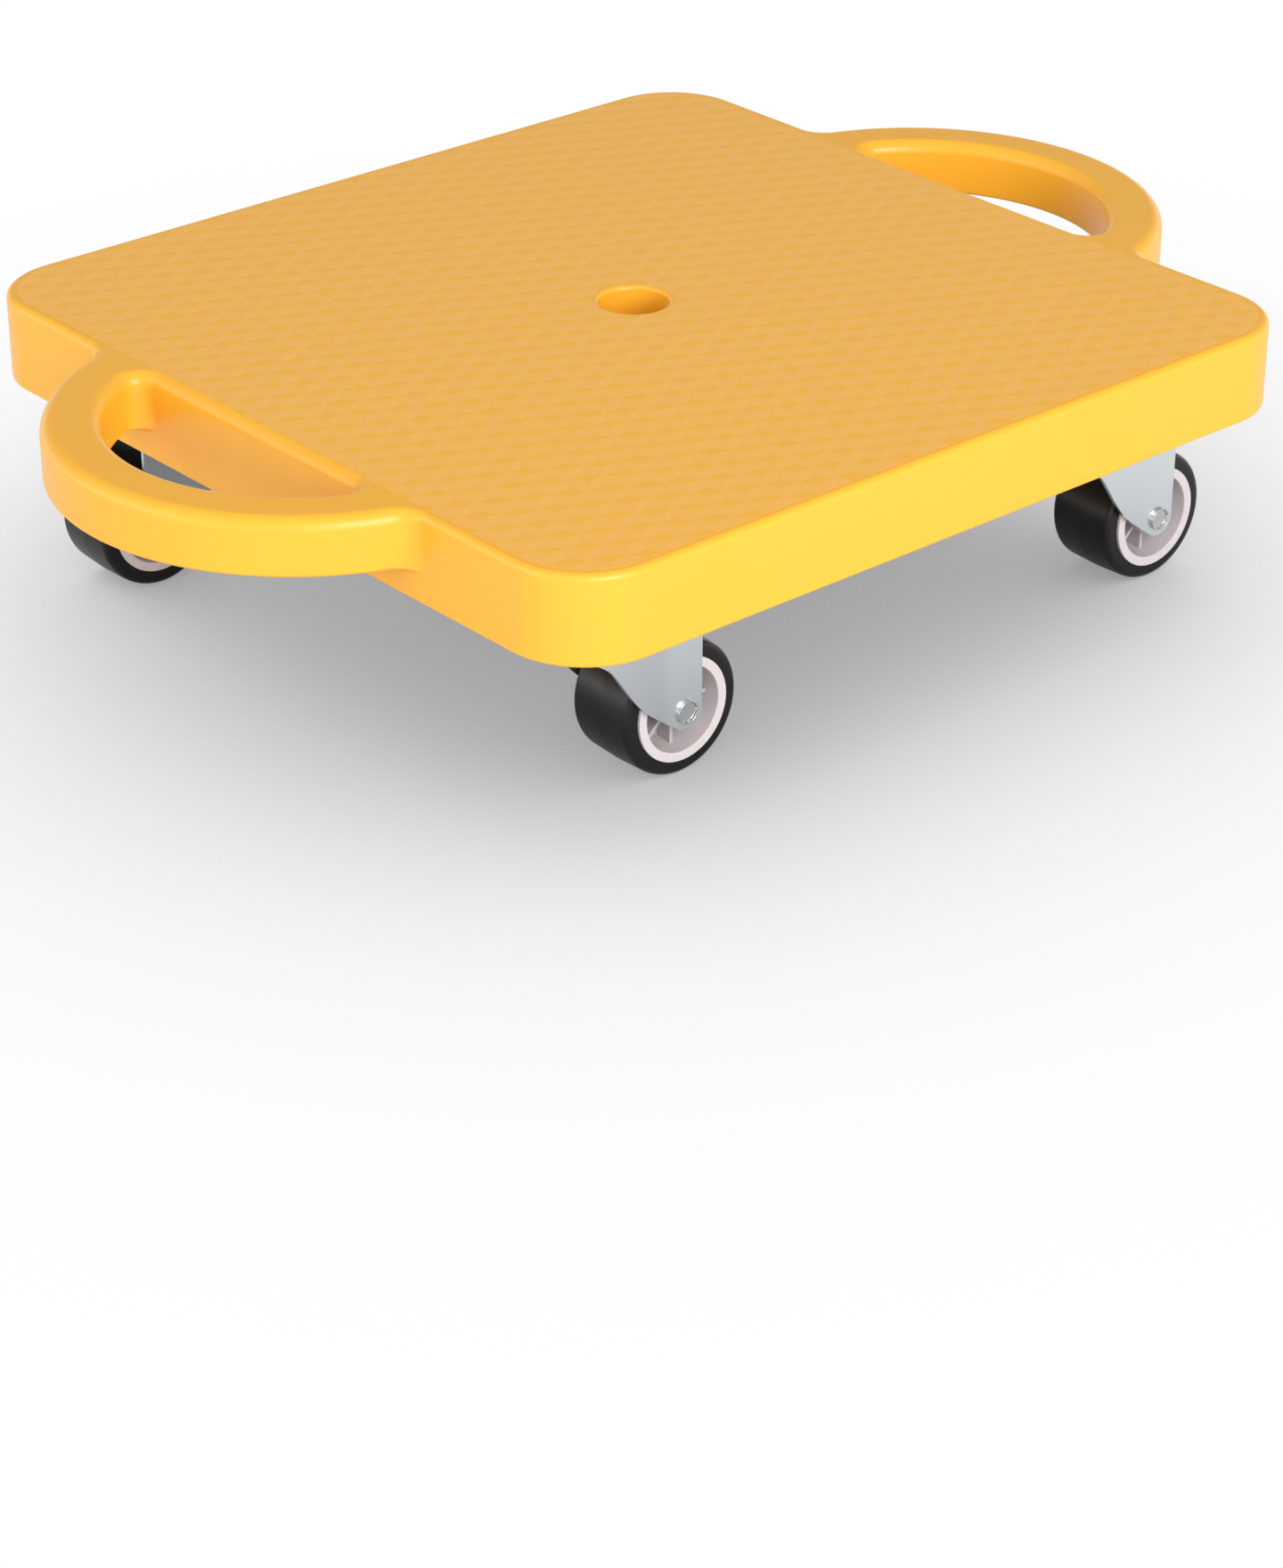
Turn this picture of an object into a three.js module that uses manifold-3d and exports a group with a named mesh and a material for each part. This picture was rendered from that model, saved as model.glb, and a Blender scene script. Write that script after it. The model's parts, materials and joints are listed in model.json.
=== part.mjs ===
// Scooter board: a moulded deck with a loop handle at each end, on four swivel casters.
// Millimetres, +Z up. The origin lies on the floor under the middle of the deck,
// and +X points at one of the two handles.
import * as THREE from 'three';
import { mergeVertices } from 'three/addons/utils/BufferGeometryUtils.js';
import Module from 'manifold-3d';

const wasm = await Module();
wasm.setup();

// Deck
const deck_length = 304.8;
const deck_width = 300.5;
const deck_thickness = 28.6;
const deck_corner_radius = 27;
const deck_top_round = 2.4;
const deck_bottom_round = 1;
const centre_hole_radius = 11.5;
const centre_hole_round = 1.2;

// Loop handles
const handle_reach = 58.8;
const handle_radius = 80.8;
const handle_bar = 18.7;
const handle_thickness = 18.7;
const handle_round = 4.4;
const handle_bottom_round = 1.4;
const handle_root_radius = 9;
const grip_corner_radius = 8;

// Caster pads and stiffening grooves under the deck
const pad_height = 4.7;
const pad_margin = 4;
const pad_taper = 1.2;
const groove_width = 14;
const groove_depth = 3.5;
const groove_draft = 1.5;
const groove_hole_margin = 18;
const groove_edge_margin = 26;

// Swivel axes of the casters, in from the ends and the sides of the deck
const caster_end_inset = 48.9;
const caster_side_inset = 45.65;

// Mounting plate
const plate_size = 50;
const plate_thickness = 2;
const plate_corner_radius = 6;
const screw_pitch = 36;
const slot_length = 8;
const slot_width = 4.8;
const dish_radius = 14;
const dish_depth = 2.2;
const dish_wall = 1.6;

// Screws
const screw_shank_radius = 2;
const screw_length = 13;
const screw_point = 4;
const screw_head_radius = 4.2;
const screw_head_height = 2.3;
const screw_head_bevel = 1.2;
const screw_recess_radius = 1.8;
const screw_recess_depth = 1.3;

// Swivel head: dome of the fork, ring of caged balls, pin and washer
const race_height = 7;
const dome_radius = 12.5;
const dome_height = 1.8;
const dome_slope = 1.5;
const cage_radius = 9.5;
const cage_width = 2.4;
const cage_bevel = 0.6;
const pin_radius = 3;
const pin_head_radius = 5;
const pin_head_height = 2;
const pin_head_bevel = 1;
const washer_radius = 6.8;
const washer_thickness = 1.2;

// Fork, pressed from sheet
const sheet = 1.2;
const trail = 21;
const crown_gap = 7.4;
const crown_bend = 3;
const crown_back = 20;
const crown_corner_radius = 2;
const leg_front = 5.8;
const leg_tip_radius = 6.6;
const leg_crease = 8;
const crease_width = 6;
const leg_taper_degrees = 2.3;
const leg_flare_degrees = 8;

// Wheel
const tyre_radius = 22.2;
const tyre_width = 26;
const tyre_shoulder = 3.2;
const rim_radius = 17;
const rim_lip = 3;
const rim_draft = 1.2;
const web_thickness = 3;
const wheel_rib_thickness = 1.3;
const wheel_rib_recess = 5.5;
const hub_radius = 6.4;

// Axle
const bolt_radius = 2.5;
const bolt_point = 0.5;
const bolt_head_radius = 3.9;
const bolt_head_height = 1;
const bolt_head_bevel = 0.2;
const bolt_head_rim = 0.7;
const bolt_head_dish = 0.5;
const hex_across = 8;
const hex_bevel = 0.4;
const nut_height = 2.8;
const nut_collar_radius = 3.6;
const nut_collar_height = 0.9;
const sleeve_wall = 1.1;

// Clearances, and how far cuts reach past and joined solids reach into each other
const gap = 0.3;
const running_gap = 0.5;
const overrun = 2;
const bite = 0.5;

// Facet and piece counts
const corner_steps = 6;
const small_corner_steps = 2;
const top_round_steps = 3;
const bottom_round_steps = 1;
const handle_steps = 18;
const root_steps = 3;
const hole_sides = 24;
const dome_sides = 16;
const small_sides = 12;
const screw_sides = 8;
const bend_steps = 2;
const crease_steps = 2;
const edge_steps = 9;
const tip_steps = 5;
const tyre_sides = 28;
const shoulder_steps = 2;
const core_sides = 16;
const wheel_rib_count = 8;

// Heights above the floor
const axle_height = tyre_radius;
const crown_top = 2 * tyre_radius + crown_gap + sheet;
const crown_underside = crown_top - sheet;
const dome_top = crown_top + dome_height;
const dome_underside = dome_top - sheet;
const plate_underside = crown_top + race_height;
const plate_top = plate_underside + plate_thickness;
const dish_underside = plate_underside - dish_depth;
const dish_floor = dish_underside + dish_wall;
const deck_underside = plate_top + pad_height;
const deck_top = deck_underside + deck_thickness;
const handle_underside = deck_top - handle_thickness;

const half_length = deck_length / 2;
const half_width = deck_width / 2;
const caster_x = half_length - caster_end_inset;
const caster_y = half_width - caster_side_inset;
const handle_centre = half_length + handle_reach - handle_radius;
const leg_taper = Math.tan(THREE.MathUtils.degToRad(leg_taper_degrees));
const leg_flare = Math.tan(THREE.MathUtils.degToRad(leg_flare_degrees));

// Corners of the board: place of the swivel axis, and how far the caster is turned at rest.
const corners = {
  front_left: { x: -caster_x, y: -caster_y, turn_degrees: -1 },
  front_right: { x: caster_x, y: -caster_y, turn_degrees: -1 },
  rear_left: { x: -caster_x, y: caster_y, turn_degrees: 179 },
  rear_right: { x: caster_x, y: caster_y, turn_degrees: 179 },
};

// Closed meshes and solids

function mesh_of(places, triangles) {
  const geometry = new THREE.BufferGeometry();
  const numbers = places.flatMap((place) => place.toArray());
  geometry.setAttribute('position', new THREE.Float32BufferAttribute(numbers, 3));
  geometry.setIndex(triangles);
  return geometry;
}

function volume_of(geometry) {
  const place = geometry.getAttribute('position');
  const index = geometry.getIndex().array;
  const a = new THREE.Vector3();
  const b = new THREE.Vector3();
  const c = new THREE.Vector3();
  let sum = 0;
  for (let i = 0; i < index.length; i += 3) {
    a.fromBufferAttribute(place, index[i]);
    b.fromBufferAttribute(place, index[i + 1]);
    c.fromBufferAttribute(place, index[i + 2]);
    sum += a.dot(b.cross(c));
  }
  return sum / 6;
}

// Shares the vertices, drops triangles that have closed up, and turns the faces outwards.
function welded(geometry) {
  const bare = geometry.clone();
  bare.deleteAttribute('normal');
  bare.deleteAttribute('uv');
  const merged = mergeVertices(bare);
  const index = merged.getIndex().array;
  const kept = [];
  for (let i = 0; i < index.length; i += 3) {
    const [a, b, c] = [index[i], index[i + 1], index[i + 2]];
    if (a !== b && b !== c && c !== a) kept.push(a, b, c);
  }
  merged.setIndex(kept);
  if (volume_of(merged) < 0) merged.setIndex(kept.reverse());
  return merged;
}

function solid(geometry) {
  const closed = welded(geometry);
  const mesh = new wasm.Mesh({
    numProp: 3,
    vertProperties: Float32Array.from(closed.getAttribute('position').array),
    triVerts: Uint32Array.from(closed.getIndex().array),
  });
  return new wasm.Manifold(mesh);
}

function geometry_of(manifold) {
  const mesh = manifold.getMesh();
  const geometry = new THREE.BufferGeometry();
  geometry.setAttribute('position', new THREE.BufferAttribute(mesh.vertProperties, 3));
  geometry.setIndex(new THREE.BufferAttribute(mesh.triVerts, 1));
  return geometry;
}

// Outlines in plan: points with the direction out of the material and the edge rounds there.
// An outer outline runs anticlockwise and a hole clockwise.

const sharp = { top: 0, bottom: 0 };

function arc(x, y, radius, from, to, steps, first, last = first) {
  const outward = to > from ? 1 : -1;
  return Array.from({ length: steps + 1 }, (unused, i) => {
    const share = i / steps;
    const angle = from + (to - from) * share;
    return {
      x: x + radius * Math.cos(angle),
      y: y + radius * Math.sin(angle),
      nx: outward * Math.cos(angle),
      ny: outward * Math.sin(angle),
      top: THREE.MathUtils.lerp(first.top, last.top, share),
      bottom: THREE.MathUtils.lerp(first.bottom, last.bottom, share),
    };
  });
}

function half_turned(points) {
  return points.map((p) => ({ ...p, x: -p.x, y: -p.y, nx: -p.nx, ny: -p.ny }));
}

function rectangle(length, width, radius, steps, rounds) {
  const x = length / 2 - radius;
  const y = width / 2 - radius;
  const half = [
    ...arc(x, -y, radius, -Math.PI / 2, 0, steps, rounds),
    ...arc(x, y, radius, 0, Math.PI / 2, steps, rounds),
  ];
  return [...half, ...half_turned(half)];
}

function round_hole(radius, rounds) {
  return arc(0, 0, radius, 0, -2 * Math.PI, hole_sides, rounds).slice(1);
}

// Places of the outline at each level, from the lower face over both rounds to the upper face.
function rim(p, low, high) {
  const levels = [];
  for (let i = 0; i <= bottom_round_steps; i += 1) {
    const angle = (Math.PI / 2) * (i / bottom_round_steps);
    levels.push([p.bottom * (1 - Math.sin(angle)), low + p.bottom * (1 - Math.cos(angle))]);
  }
  for (let i = 0; i <= top_round_steps; i += 1) {
    const angle = (Math.PI / 2) * (i / top_round_steps);
    levels.push([p.top * (1 - Math.cos(angle)), high - p.top * (1 - Math.sin(angle))]);
  }
  return levels.map(([inset, z]) => new THREE.Vector3(p.x - p.nx * inset, p.y - p.ny * inset, z));
}

// Joins loops of columns, the outer one first, into a body with a flat cap at each end.
function lofted(loops) {
  const rows = loops[0][0].length;
  const places = loops.flat(2);
  const triangles = [];
  let start = 0;
  for (const columns of loops) {
    for (let i = 0; i < columns.length; i += 1) {
      const here = start + i * rows;
      const next = start + ((i + 1) % columns.length) * rows;
      for (let k = 0; k + 1 < rows; k += 1) {
        triangles.push(here + k, next + k, next + k + 1, here + k, next + k + 1, here + k + 1);
      }
    }
    start += columns.length * rows;
  }
  for (const row of [0, rows - 1]) {
    const rings = loops.map((columns) => columns.map((column) => column[row]));
    const flat = rings.flat();
    const [outer, ...holes] = rings.map((ring) => ring.map((p) => new THREE.Vector2(p.x, p.y)));
    for (const [a, b, c] of THREE.ShapeUtils.triangulateShape(outer, holes)) {
      const faces_up = THREE.ShapeUtils.area([flat[a], flat[b], flat[c]]) > 0;
      const kept = faces_up === (row > 0);
      triangles.push(a * rows + row, (kept ? b : c) * rows + row, (kept ? c : b) * rows + row);
    }
  }
  return mesh_of(places, triangles);
}

function slab(outlines, low, high) {
  return lofted(outlines.map((outline) => outline.map((p) => rim(p, low, high))));
}

// A straight block whose outline shrinks by its own amount at each of its two heights.
function block(outline, low, high, low_inset = 0, high_inset = 0) {
  return lofted([outline.map((p) => [
    new THREE.Vector3(p.x - p.nx * low_inset, p.y - p.ny * low_inset, low),
    new THREE.Vector3(p.x - p.nx * high_inset, p.y - p.ny * high_inset, high),
  ])]);
}

// Turned bodies: profiles of [radius, place along the axis] pairs, about Y or, upright, about Z.

function turned(profile, sides, phase = 0) {
  const points = profile.map(([radius, along]) => new THREE.Vector2(radius, along));
  return new THREE.LatheGeometry(points, sides, phase, 2 * Math.PI);
}

function upright(profile, sides) {
  return turned(profile, sides).rotateX(Math.PI / 2);
}

function rod(radius, low, high) {
  return [[0, low], [radius, low], [radius, high], [0, high]];
}

function tube(inner, outer, low, high) {
  return [[inner, low], [outer, low], [outer, high], [inner, high], [inner, low]];
}

// Deck

// A handle, from the deck side into its root, round the loop and back, with the next deck corner.
function handle_and_corner(deck_rounds, loop_rounds) {
  const root_x = half_length + handle_root_radius;
  const span = handle_radius + handle_root_radius;
  const root_y = Math.sqrt(span ** 2 - (root_x - handle_centre) ** 2);
  const meet = Math.atan2(root_y, root_x - handle_centre);
  const corner_x = half_length - deck_corner_radius;
  const corner_y = half_width - deck_corner_radius;
  return [
    ...arc(root_x, -root_y, handle_root_radius, Math.PI, Math.PI - meet, root_steps,
      deck_rounds, loop_rounds),
    ...arc(handle_centre, 0, handle_radius, -meet, meet, handle_steps, loop_rounds).slice(1, -1),
    ...arc(root_x, root_y, handle_root_radius, Math.PI + meet, Math.PI, root_steps,
      loop_rounds, deck_rounds),
    ...arc(corner_x, corner_y, deck_corner_radius, 0, Math.PI / 2, corner_steps, deck_rounds),
  ];
}

function board_outline() {
  const deck_rounds = { top: deck_top_round, bottom: 0 };
  const loop_rounds = { top: handle_round, bottom: handle_bottom_round };
  const corner_x = half_length - deck_corner_radius;
  const corner_y = half_width - deck_corner_radius;
  const half = [
    ...arc(corner_x, -corner_y, deck_corner_radius, -Math.PI / 2, 0, corner_steps, deck_rounds),
    ...handle_and_corner(deck_rounds, loop_rounds),
  ];
  return [...half, ...half_turned(half)];
}

// The hand hole at +X: straight along the deck, curved along the bar.
function grip_outline() {
  const bar = { top: handle_round, bottom: handle_bottom_round };
  const wall = { top: handle_round, bottom: 0 };
  const inner_radius = handle_radius - handle_bar;
  const corner_x = half_length + grip_corner_radius;
  const span = inner_radius - grip_corner_radius;
  const corner_y = Math.sqrt(span ** 2 - (corner_x - handle_centre) ** 2);
  const meet = Math.atan2(corner_y, corner_x - handle_centre);
  const points = [
    ...arc(handle_centre, 0, inner_radius, -meet, meet, handle_steps, bar),
    ...arc(corner_x, corner_y, grip_corner_radius, meet, Math.PI, corner_steps, bar, wall).slice(1),
    ...arc(corner_x, -corner_y, grip_corner_radius, -Math.PI, -meet, corner_steps, wall, bar)
      .slice(0, -1),
  ];
  return points.reverse().map((p) => ({ ...p, nx: -p.nx, ny: -p.ny }));
}

function upper_deck() {
  const grip = grip_outline();
  const hole = round_hole(centre_hole_radius, { top: centre_hole_round, bottom: 0 });
  return solid(slab([board_outline(), grip, half_turned(grip), hole], handle_underside, deck_top));
}

// Below the handles the deck goes on as a rounded square.
function lower_deck() {
  const rounds = { top: 0, bottom: deck_bottom_round };
  const outer = rectangle(deck_length, deck_width, deck_corner_radius, corner_steps, rounds);
  const hole = round_hole(centre_hole_radius, rounds);
  return solid(slab([outer, hole], deck_underside, handle_underside + bite));
}

function caster_pad() {
  const side = plate_size + 2 * (pad_margin + pad_taper);
  const radius = plate_corner_radius + pad_margin;
  const outline = rectangle(side, side, radius, small_corner_steps, sharp);
  return solid(block(outline, plate_top, deck_underside + bite, pad_taper, 0));
}

function pilot_hole() {
  const end = plate_underside + screw_length + gap;
  return solid(upright(rod(screw_shank_radius + gap, plate_top - overrun, end), screw_sides));
}

// A groove along +X, from beside the centre hole to short of the edge.
function groove() {
  const start = centre_hole_radius + groove_hole_margin;
  const end = Math.min(half_length, half_width) - groove_edge_margin;
  const outline = rectangle(end - start, groove_width, groove_width / 2 - gap, small_corner_steps,
    sharp);
  const shape = block(outline, deck_underside - overrun, deck_underside + groove_depth,
    0, groove_draft);
  return solid(shape.translate((start + end) / 2, 0, 0));
}

function screw_places() {
  const reach = screw_pitch / 2;
  return [[-reach, -reach], [reach, -reach], [reach, reach], [-reach, reach]];
}

function deck() {
  let body = upper_deck().add(lower_deck());
  for (const { x, y } of Object.values(corners)) {
    body = body.add(caster_pad().translate([x, y, 0]));
    for (const [dx, dy] of screw_places()) {
      body = body.subtract(pilot_hole().translate([x + dx, y + dy, 0]));
    }
  }
  for (const degrees of [0, 90, 180, 270]) {
    body = body.subtract(groove().rotate([0, 0, degrees]));
  }
  return geometry_of(body);
}

// Mounting plate: a slot at each corner, and a dish pressed down that carries the balls

function slot(dx, dy) {
  const outline = rectangle(slot_length, slot_width, slot_width / 2 - gap / 2, small_corner_steps,
    sharp);
  const cut = block(outline, plate_underside - overrun, plate_top + overrun);
  return solid(cut.rotateZ(Math.atan2(dy, dx)).translate(dx, dy, 0));
}

function mount_plate() {
  const outline = rectangle(plate_size, plate_size, plate_corner_radius, small_corner_steps, sharp);
  const inner_radius = dish_radius - dish_wall / 2;
  const dish = upright([[0, dish_underside], [dish_radius - dish_depth, dish_underside],
    [dish_radius, plate_underside + bite], [0, plate_underside + bite]], dome_sides);
  const hollow = upright([[0, dish_floor], [inner_radius - dish_depth, dish_floor],
    [inner_radius, plate_top], [inner_radius, plate_top + overrun], [0, plate_top + overrun]],
  dome_sides);
  const bore = upright(rod(pin_radius + gap, dish_underside - overrun, plate_top), small_sides);
  let plate = solid(block(outline, plate_underside, plate_top)).add(solid(dish));
  plate = plate.subtract(solid(hollow)).subtract(solid(bore));
  for (const [dx, dy] of screw_places()) plate = plate.subtract(slot(dx, dy));
  return geometry_of(plate);
}

// Screw with a pan head under the plate and a square recess in the head
function plate_screw() {
  const head_low = plate_underside - screw_head_height;
  const tip = plate_underside + screw_length;
  const body = upright([
    [0, head_low],
    [screw_head_radius - screw_head_bevel, head_low],
    [screw_head_radius, head_low + screw_head_bevel],
    [screw_head_radius, plate_underside],
    [screw_shank_radius, plate_underside],
    [screw_shank_radius, tip - screw_point],
    [0, tip],
  ], screw_sides);
  const recess = upright(rod(screw_recess_radius, head_low - overrun,
    head_low + screw_recess_depth), 4);
  return geometry_of(solid(body).subtract(solid(recess)));
}

// Swivel head

// The pin is a rivet: head under the washer, shank through fork and plate, end spread in the dish.
function swivel_pin() {
  const head_top = dome_underside - gap - washer_thickness;
  const head_low = head_top - pin_head_height;
  const end = plate_top - gap;
  return welded(upright([
    [0, head_low],
    [pin_head_radius - pin_head_bevel, head_low],
    [pin_head_radius, head_low + pin_head_bevel],
    [pin_head_radius, head_top],
    [pin_radius, head_top],
    [pin_radius, dish_floor],
    [pin_head_radius, dish_floor],
    [pin_head_radius - pin_head_bevel, end],
    [0, end],
  ], small_sides));
}

function swivel_washer() {
  const high = dome_underside - gap;
  return welded(upright(tube(pin_radius + gap, washer_radius, high - washer_thickness, high),
    small_sides));
}

// The balls and their cage, as one ring between the dome of the fork and the dish of the plate
function ball_ring() {
  const low = dome_top + gap;
  const high = dish_underside - gap;
  const inner = cage_radius - cage_width / 2;
  const outer = cage_radius + cage_width / 2;
  return welded(upright([
    [inner + cage_bevel, low],
    [outer - cage_bevel, low],
    [outer, low + cage_bevel],
    [outer, high - cage_bevel],
    [outer - cage_bevel, high],
    [inner + cage_bevel, high],
    [inner, high - cage_bevel],
    [inner, low + cage_bevel],
    [inner + cage_bevel, low],
  ], small_sides));
}

// Fork: swivel axis at x = 0, axle at x = trail

// How far a place lies behind the crease, with the crease itself bent over its width.
function behind_crease(x) {
  const behind = trail - leg_crease - x;
  const reach = crease_width / 2;
  if (Math.abs(behind) < reach) return (behind + reach) ** 2 / (4 * reach);
  return Math.max(0, behind);
}

// Half the outer width of the fork: it narrows downwards and flares behind the crease.
function leg_outside(x, z) {
  const beside_rim = tyre_width / 2 + running_gap + sheet;
  const above_rim = z - axle_height - (rim_radius - rim_lip);
  return beside_rim + leg_taper * above_rim + leg_flare * behind_crease(x);
}

// The folded sheet as a full block, or the space inside it when the inset is the sheet.
function folded_block(inset, low, end_overrun) {
  const front = trail + leg_front + end_overrun;
  const back = -crown_back - end_overrun;
  const top = crown_top - inset;
  const bend = crown_bend - inset;
  const crease_front = trail - leg_crease + crease_width / 2;
  const stations = [front];
  for (let i = 0; i <= crease_steps; i += 1) {
    stations.push(crease_front - crease_width * (i / crease_steps));
  }
  stations.push(back);
  const levels = [[low, 0]];
  for (let i = 0; i <= bend_steps; i += 1) {
    const angle = (Math.PI / 2) * (i / bend_steps);
    levels.push([top - bend * (1 - Math.sin(angle)), bend * (1 - Math.cos(angle))]);
  }
  const column = (x, side) => levels.map(([z, pull]) => (
    new THREE.Vector3(x, side * (leg_outside(x, z) - inset - pull), z)));
  return solid(lofted([[
    ...stations.map((x) => column(x, 1)),
    ...stations.map((x) => column(x, -1)).reverse(),
  ]]));
}

// Back edge of a leg from above the tip to the crown, as shares of the reach behind the axle
// and of the rise from axle to crown.
const back_edge_shares = [[0.34, 0.07], [0.49, 0.235], [0.59, 0.4], [0.69, 0.585], [0.79, 0.775],
  [0.88, 0.885], [1, 0.92]];

// Side view of the fork: x forwards, y up.
function leg_outline() {
  const reach = trail + crown_back;
  const rise = crown_top - axle_height;
  const over = crown_top + overrun;
  const tip = (angle) => new THREE.Vector2(trail + leg_tip_radius * Math.cos(angle),
    axle_height + leg_tip_radius * Math.sin(angle));
  const edge_angle = THREE.MathUtils.degToRad(-135);
  const front_angle = -Math.acos(leg_front / leg_tip_radius);
  const edge = back_edge_shares.map(([back, up]) => (
    new THREE.Vector2(trail - reach * back, axle_height + rise * up)));
  const curve = new THREE.SplineCurve([tip(edge_angle), ...edge]).getPoints(edge_steps);
  const points = [new THREE.Vector2(-crown_back, over), ...curve.reverse()];
  for (let i = 1; i <= tip_steps; i += 1) {
    points.push(tip(THREE.MathUtils.lerp(edge_angle, front_angle, i / tip_steps)));
  }
  points.push(new THREE.Vector2(trail + leg_front, over));
  return points;
}

function across(points, width) {
  const shape = new THREE.Shape(points);
  const geometry = new THREE.ExtrudeGeometry(shape, { depth: width, bevelEnabled: false });
  return solid(geometry.translate(0, 0, -width / 2).rotateX(Math.PI / 2));
}

// Seen from above, the two back corners of the fork are rounded.
function crown_plan(width) {
  const front = trail + leg_front + overrun;
  const centre_x = crown_corner_radius - crown_back;
  const centre_y = leg_outside(centre_x, crown_top) - crown_corner_radius;
  const half = [new THREE.Vector2(front, width / 2), new THREE.Vector2(centre_x, width / 2)];
  for (const p of arc(centre_x, centre_y, crown_corner_radius, Math.PI / 2, Math.PI,
    small_corner_steps, sharp)) half.push(new THREE.Vector2(p.x, p.y));
  const other = half.map((p) => new THREE.Vector2(p.x, -p.y)).reverse();
  return solid(new THREE.ExtrudeGeometry(new THREE.Shape([...half, ...other]),
    { depth: dome_top + overrun, bevelEnabled: false }));
}

function dome(radius, base, top) {
  return solid(upright([[0, base], [radius, base], [radius - dome_slope, top], [0, top]],
    dome_sides));
}

function axle_hole(width) {
  const hole = turned(rod(bolt_radius + gap, -width / 2, width / 2), small_sides);
  return solid(hole.translate(trail, 0, axle_height));
}

function fork() {
  const low = axle_height - leg_tip_radius - overrun;
  const width = 4 * tyre_width;
  const hollow = folded_block(sheet, low - overrun, overrun);
  const pin_hole = upright(rod(pin_radius + gap, crown_underside, dome_top + overrun), small_sides);
  let body = folded_block(0, low, 0).subtract(hollow);
  body = body.intersect(across(leg_outline(), width)).intersect(crown_plan(width));
  body = body.add(dome(dome_radius, crown_top - bite, dome_top));
  body = body.subtract(dome(dome_radius - sheet / 2, crown_underside - bite, dome_underside));
  return geometry_of(body.subtract(solid(pin_hole)).subtract(axle_hole(width)));
}

// Wheel, about its own axis along Y

const leg_inside = leg_outside(trail, axle_height - hub_radius) - sheet;

// The flats of the tyre lie at the tyre radius, and one of them on the floor.
function tyre() {
  const half = tyre_width / 2;
  const side = [[rim_radius + gap, -half]];
  for (let i = 0; i <= shoulder_steps; i += 1) {
    const angle = (Math.PI / 2) * (i / shoulder_steps);
    side.push([tyre_radius - tyre_shoulder * (1 - Math.sin(angle)),
      tyre_shoulder * (1 - Math.cos(angle)) - half]);
  }
  const other = side.map(([radius, along]) => [radius, -along]).reverse();
  const to_corner = 1 / Math.cos(Math.PI / tyre_sides);
  const profile = [...side, ...other, side[0]].map(([radius, along]) => [radius * to_corner, along]);
  return welded(turned(profile, tyre_sides, Math.PI / tyre_sides));
}

function wheel_core() {
  const half = tyre_width / 2;
  const bore = bolt_radius + gap + sleeve_wall + gap;
  const hub_half = leg_inside - running_gap;
  const lip_radius = rim_radius - rim_lip;
  const side = [
    [bore, -hub_half],
    [hub_radius, -hub_half],
    [hub_radius, -web_thickness / 2],
    [lip_radius - rim_draft, -web_thickness / 2],
    [lip_radius, -half],
    [rim_radius, -half],
  ];
  const other = side.map(([radius, along]) => [radius, -along]).reverse();
  let core = solid(turned([...side, ...other, side[0]], core_sides));
  const rib_start = (bore + hub_radius) / 2;
  const rib_end = (lip_radius + rim_radius) / 2;
  for (let i = 0; i < wheel_rib_count; i += 1) {
    const rib = new THREE.BoxGeometry(rib_end - rib_start, 2 * (half - wheel_rib_recess),
      wheel_rib_thickness).translate((rib_start + rib_end) / 2, 0, 0);
    core = core.add(solid(rib.rotateY((2 * Math.PI * i) / wheel_rib_count)));
  }
  return geometry_of(core);
}

// Axle hardware along Y: bolt head at -Y, nut at +Y

const axle_seat = leg_outside(trail, axle_height + hex_across / 2) + gap;

// A low round head, dished inside its rim, and a shank that ends in the collar of the nut
function axle_bolt() {
  const radius = bolt_head_radius;
  const dish = radius - bolt_head_rim;
  const face = -axle_seat - bolt_head_height;
  const end = axle_seat + nut_height;
  return welded(turned([
    [0, face + bolt_head_dish],
    [dish, face + bolt_head_dish],
    [dish, face],
    [radius - bolt_head_bevel, face],
    [radius, face + bolt_head_bevel],
    [radius, -axle_seat],
    [bolt_radius, -axle_seat],
    [bolt_radius, end - bolt_point],
    [bolt_radius - bolt_point, end],
    [0, end],
  ], small_sides));
}

function axle_nut() {
  const radius = hex_across / Math.sqrt(3);
  const shoulder = axle_seat + nut_height;
  const face = shoulder + nut_collar_height;
  const nut = solid(turned([[0, axle_seat], [radius, axle_seat], [radius, shoulder - hex_bevel],
    [radius - hex_bevel, shoulder], [0, shoulder]], 6));
  const collar = turned([[0, shoulder - bite], [nut_collar_radius, shoulder - bite],
    [nut_collar_radius, face - hex_bevel], [nut_collar_radius - hex_bevel, face], [0, face]],
  small_sides);
  const bore = turned(rod(bolt_radius + gap, axle_seat - overrun, face + overrun), small_sides);
  return geometry_of(nut.add(solid(collar)).subtract(solid(bore)));
}

function axle_sleeve() {
  const half = leg_inside - gap;
  const inner = bolt_radius + gap;
  return welded(turned(tube(inner, inner + sleeve_wall, -half, half), small_sides));
}

// Materials

const materials = {
  yellow_plastic: { color: 0xf7c04e, roughness: 0.45, metalness: 0 },
  zinc_steel: { color: 0xb9bec0, roughness: 0.35, metalness: 0.9 },
  chromed_steel: { color: 0xd8dadb, roughness: 0.15, metalness: 1 },
  black_tyre: { color: 0x2b2727, roughness: 0.55, metalness: 0 },
  white_plastic: { color: 0xe6e3e3, roughness: 0.5, metalness: 0 },
};

function add_piece(parent, name, geometry, material) {
  const mesh = new THREE.Mesh(geometry, new THREE.MeshStandardMaterial(materials[material]));
  mesh.name = name;
  parent.add(mesh);
  return mesh;
}

// Assembly

const board = new THREE.Group();
add_piece(board, 'deck', deck(), 'yellow_plastic');

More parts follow.
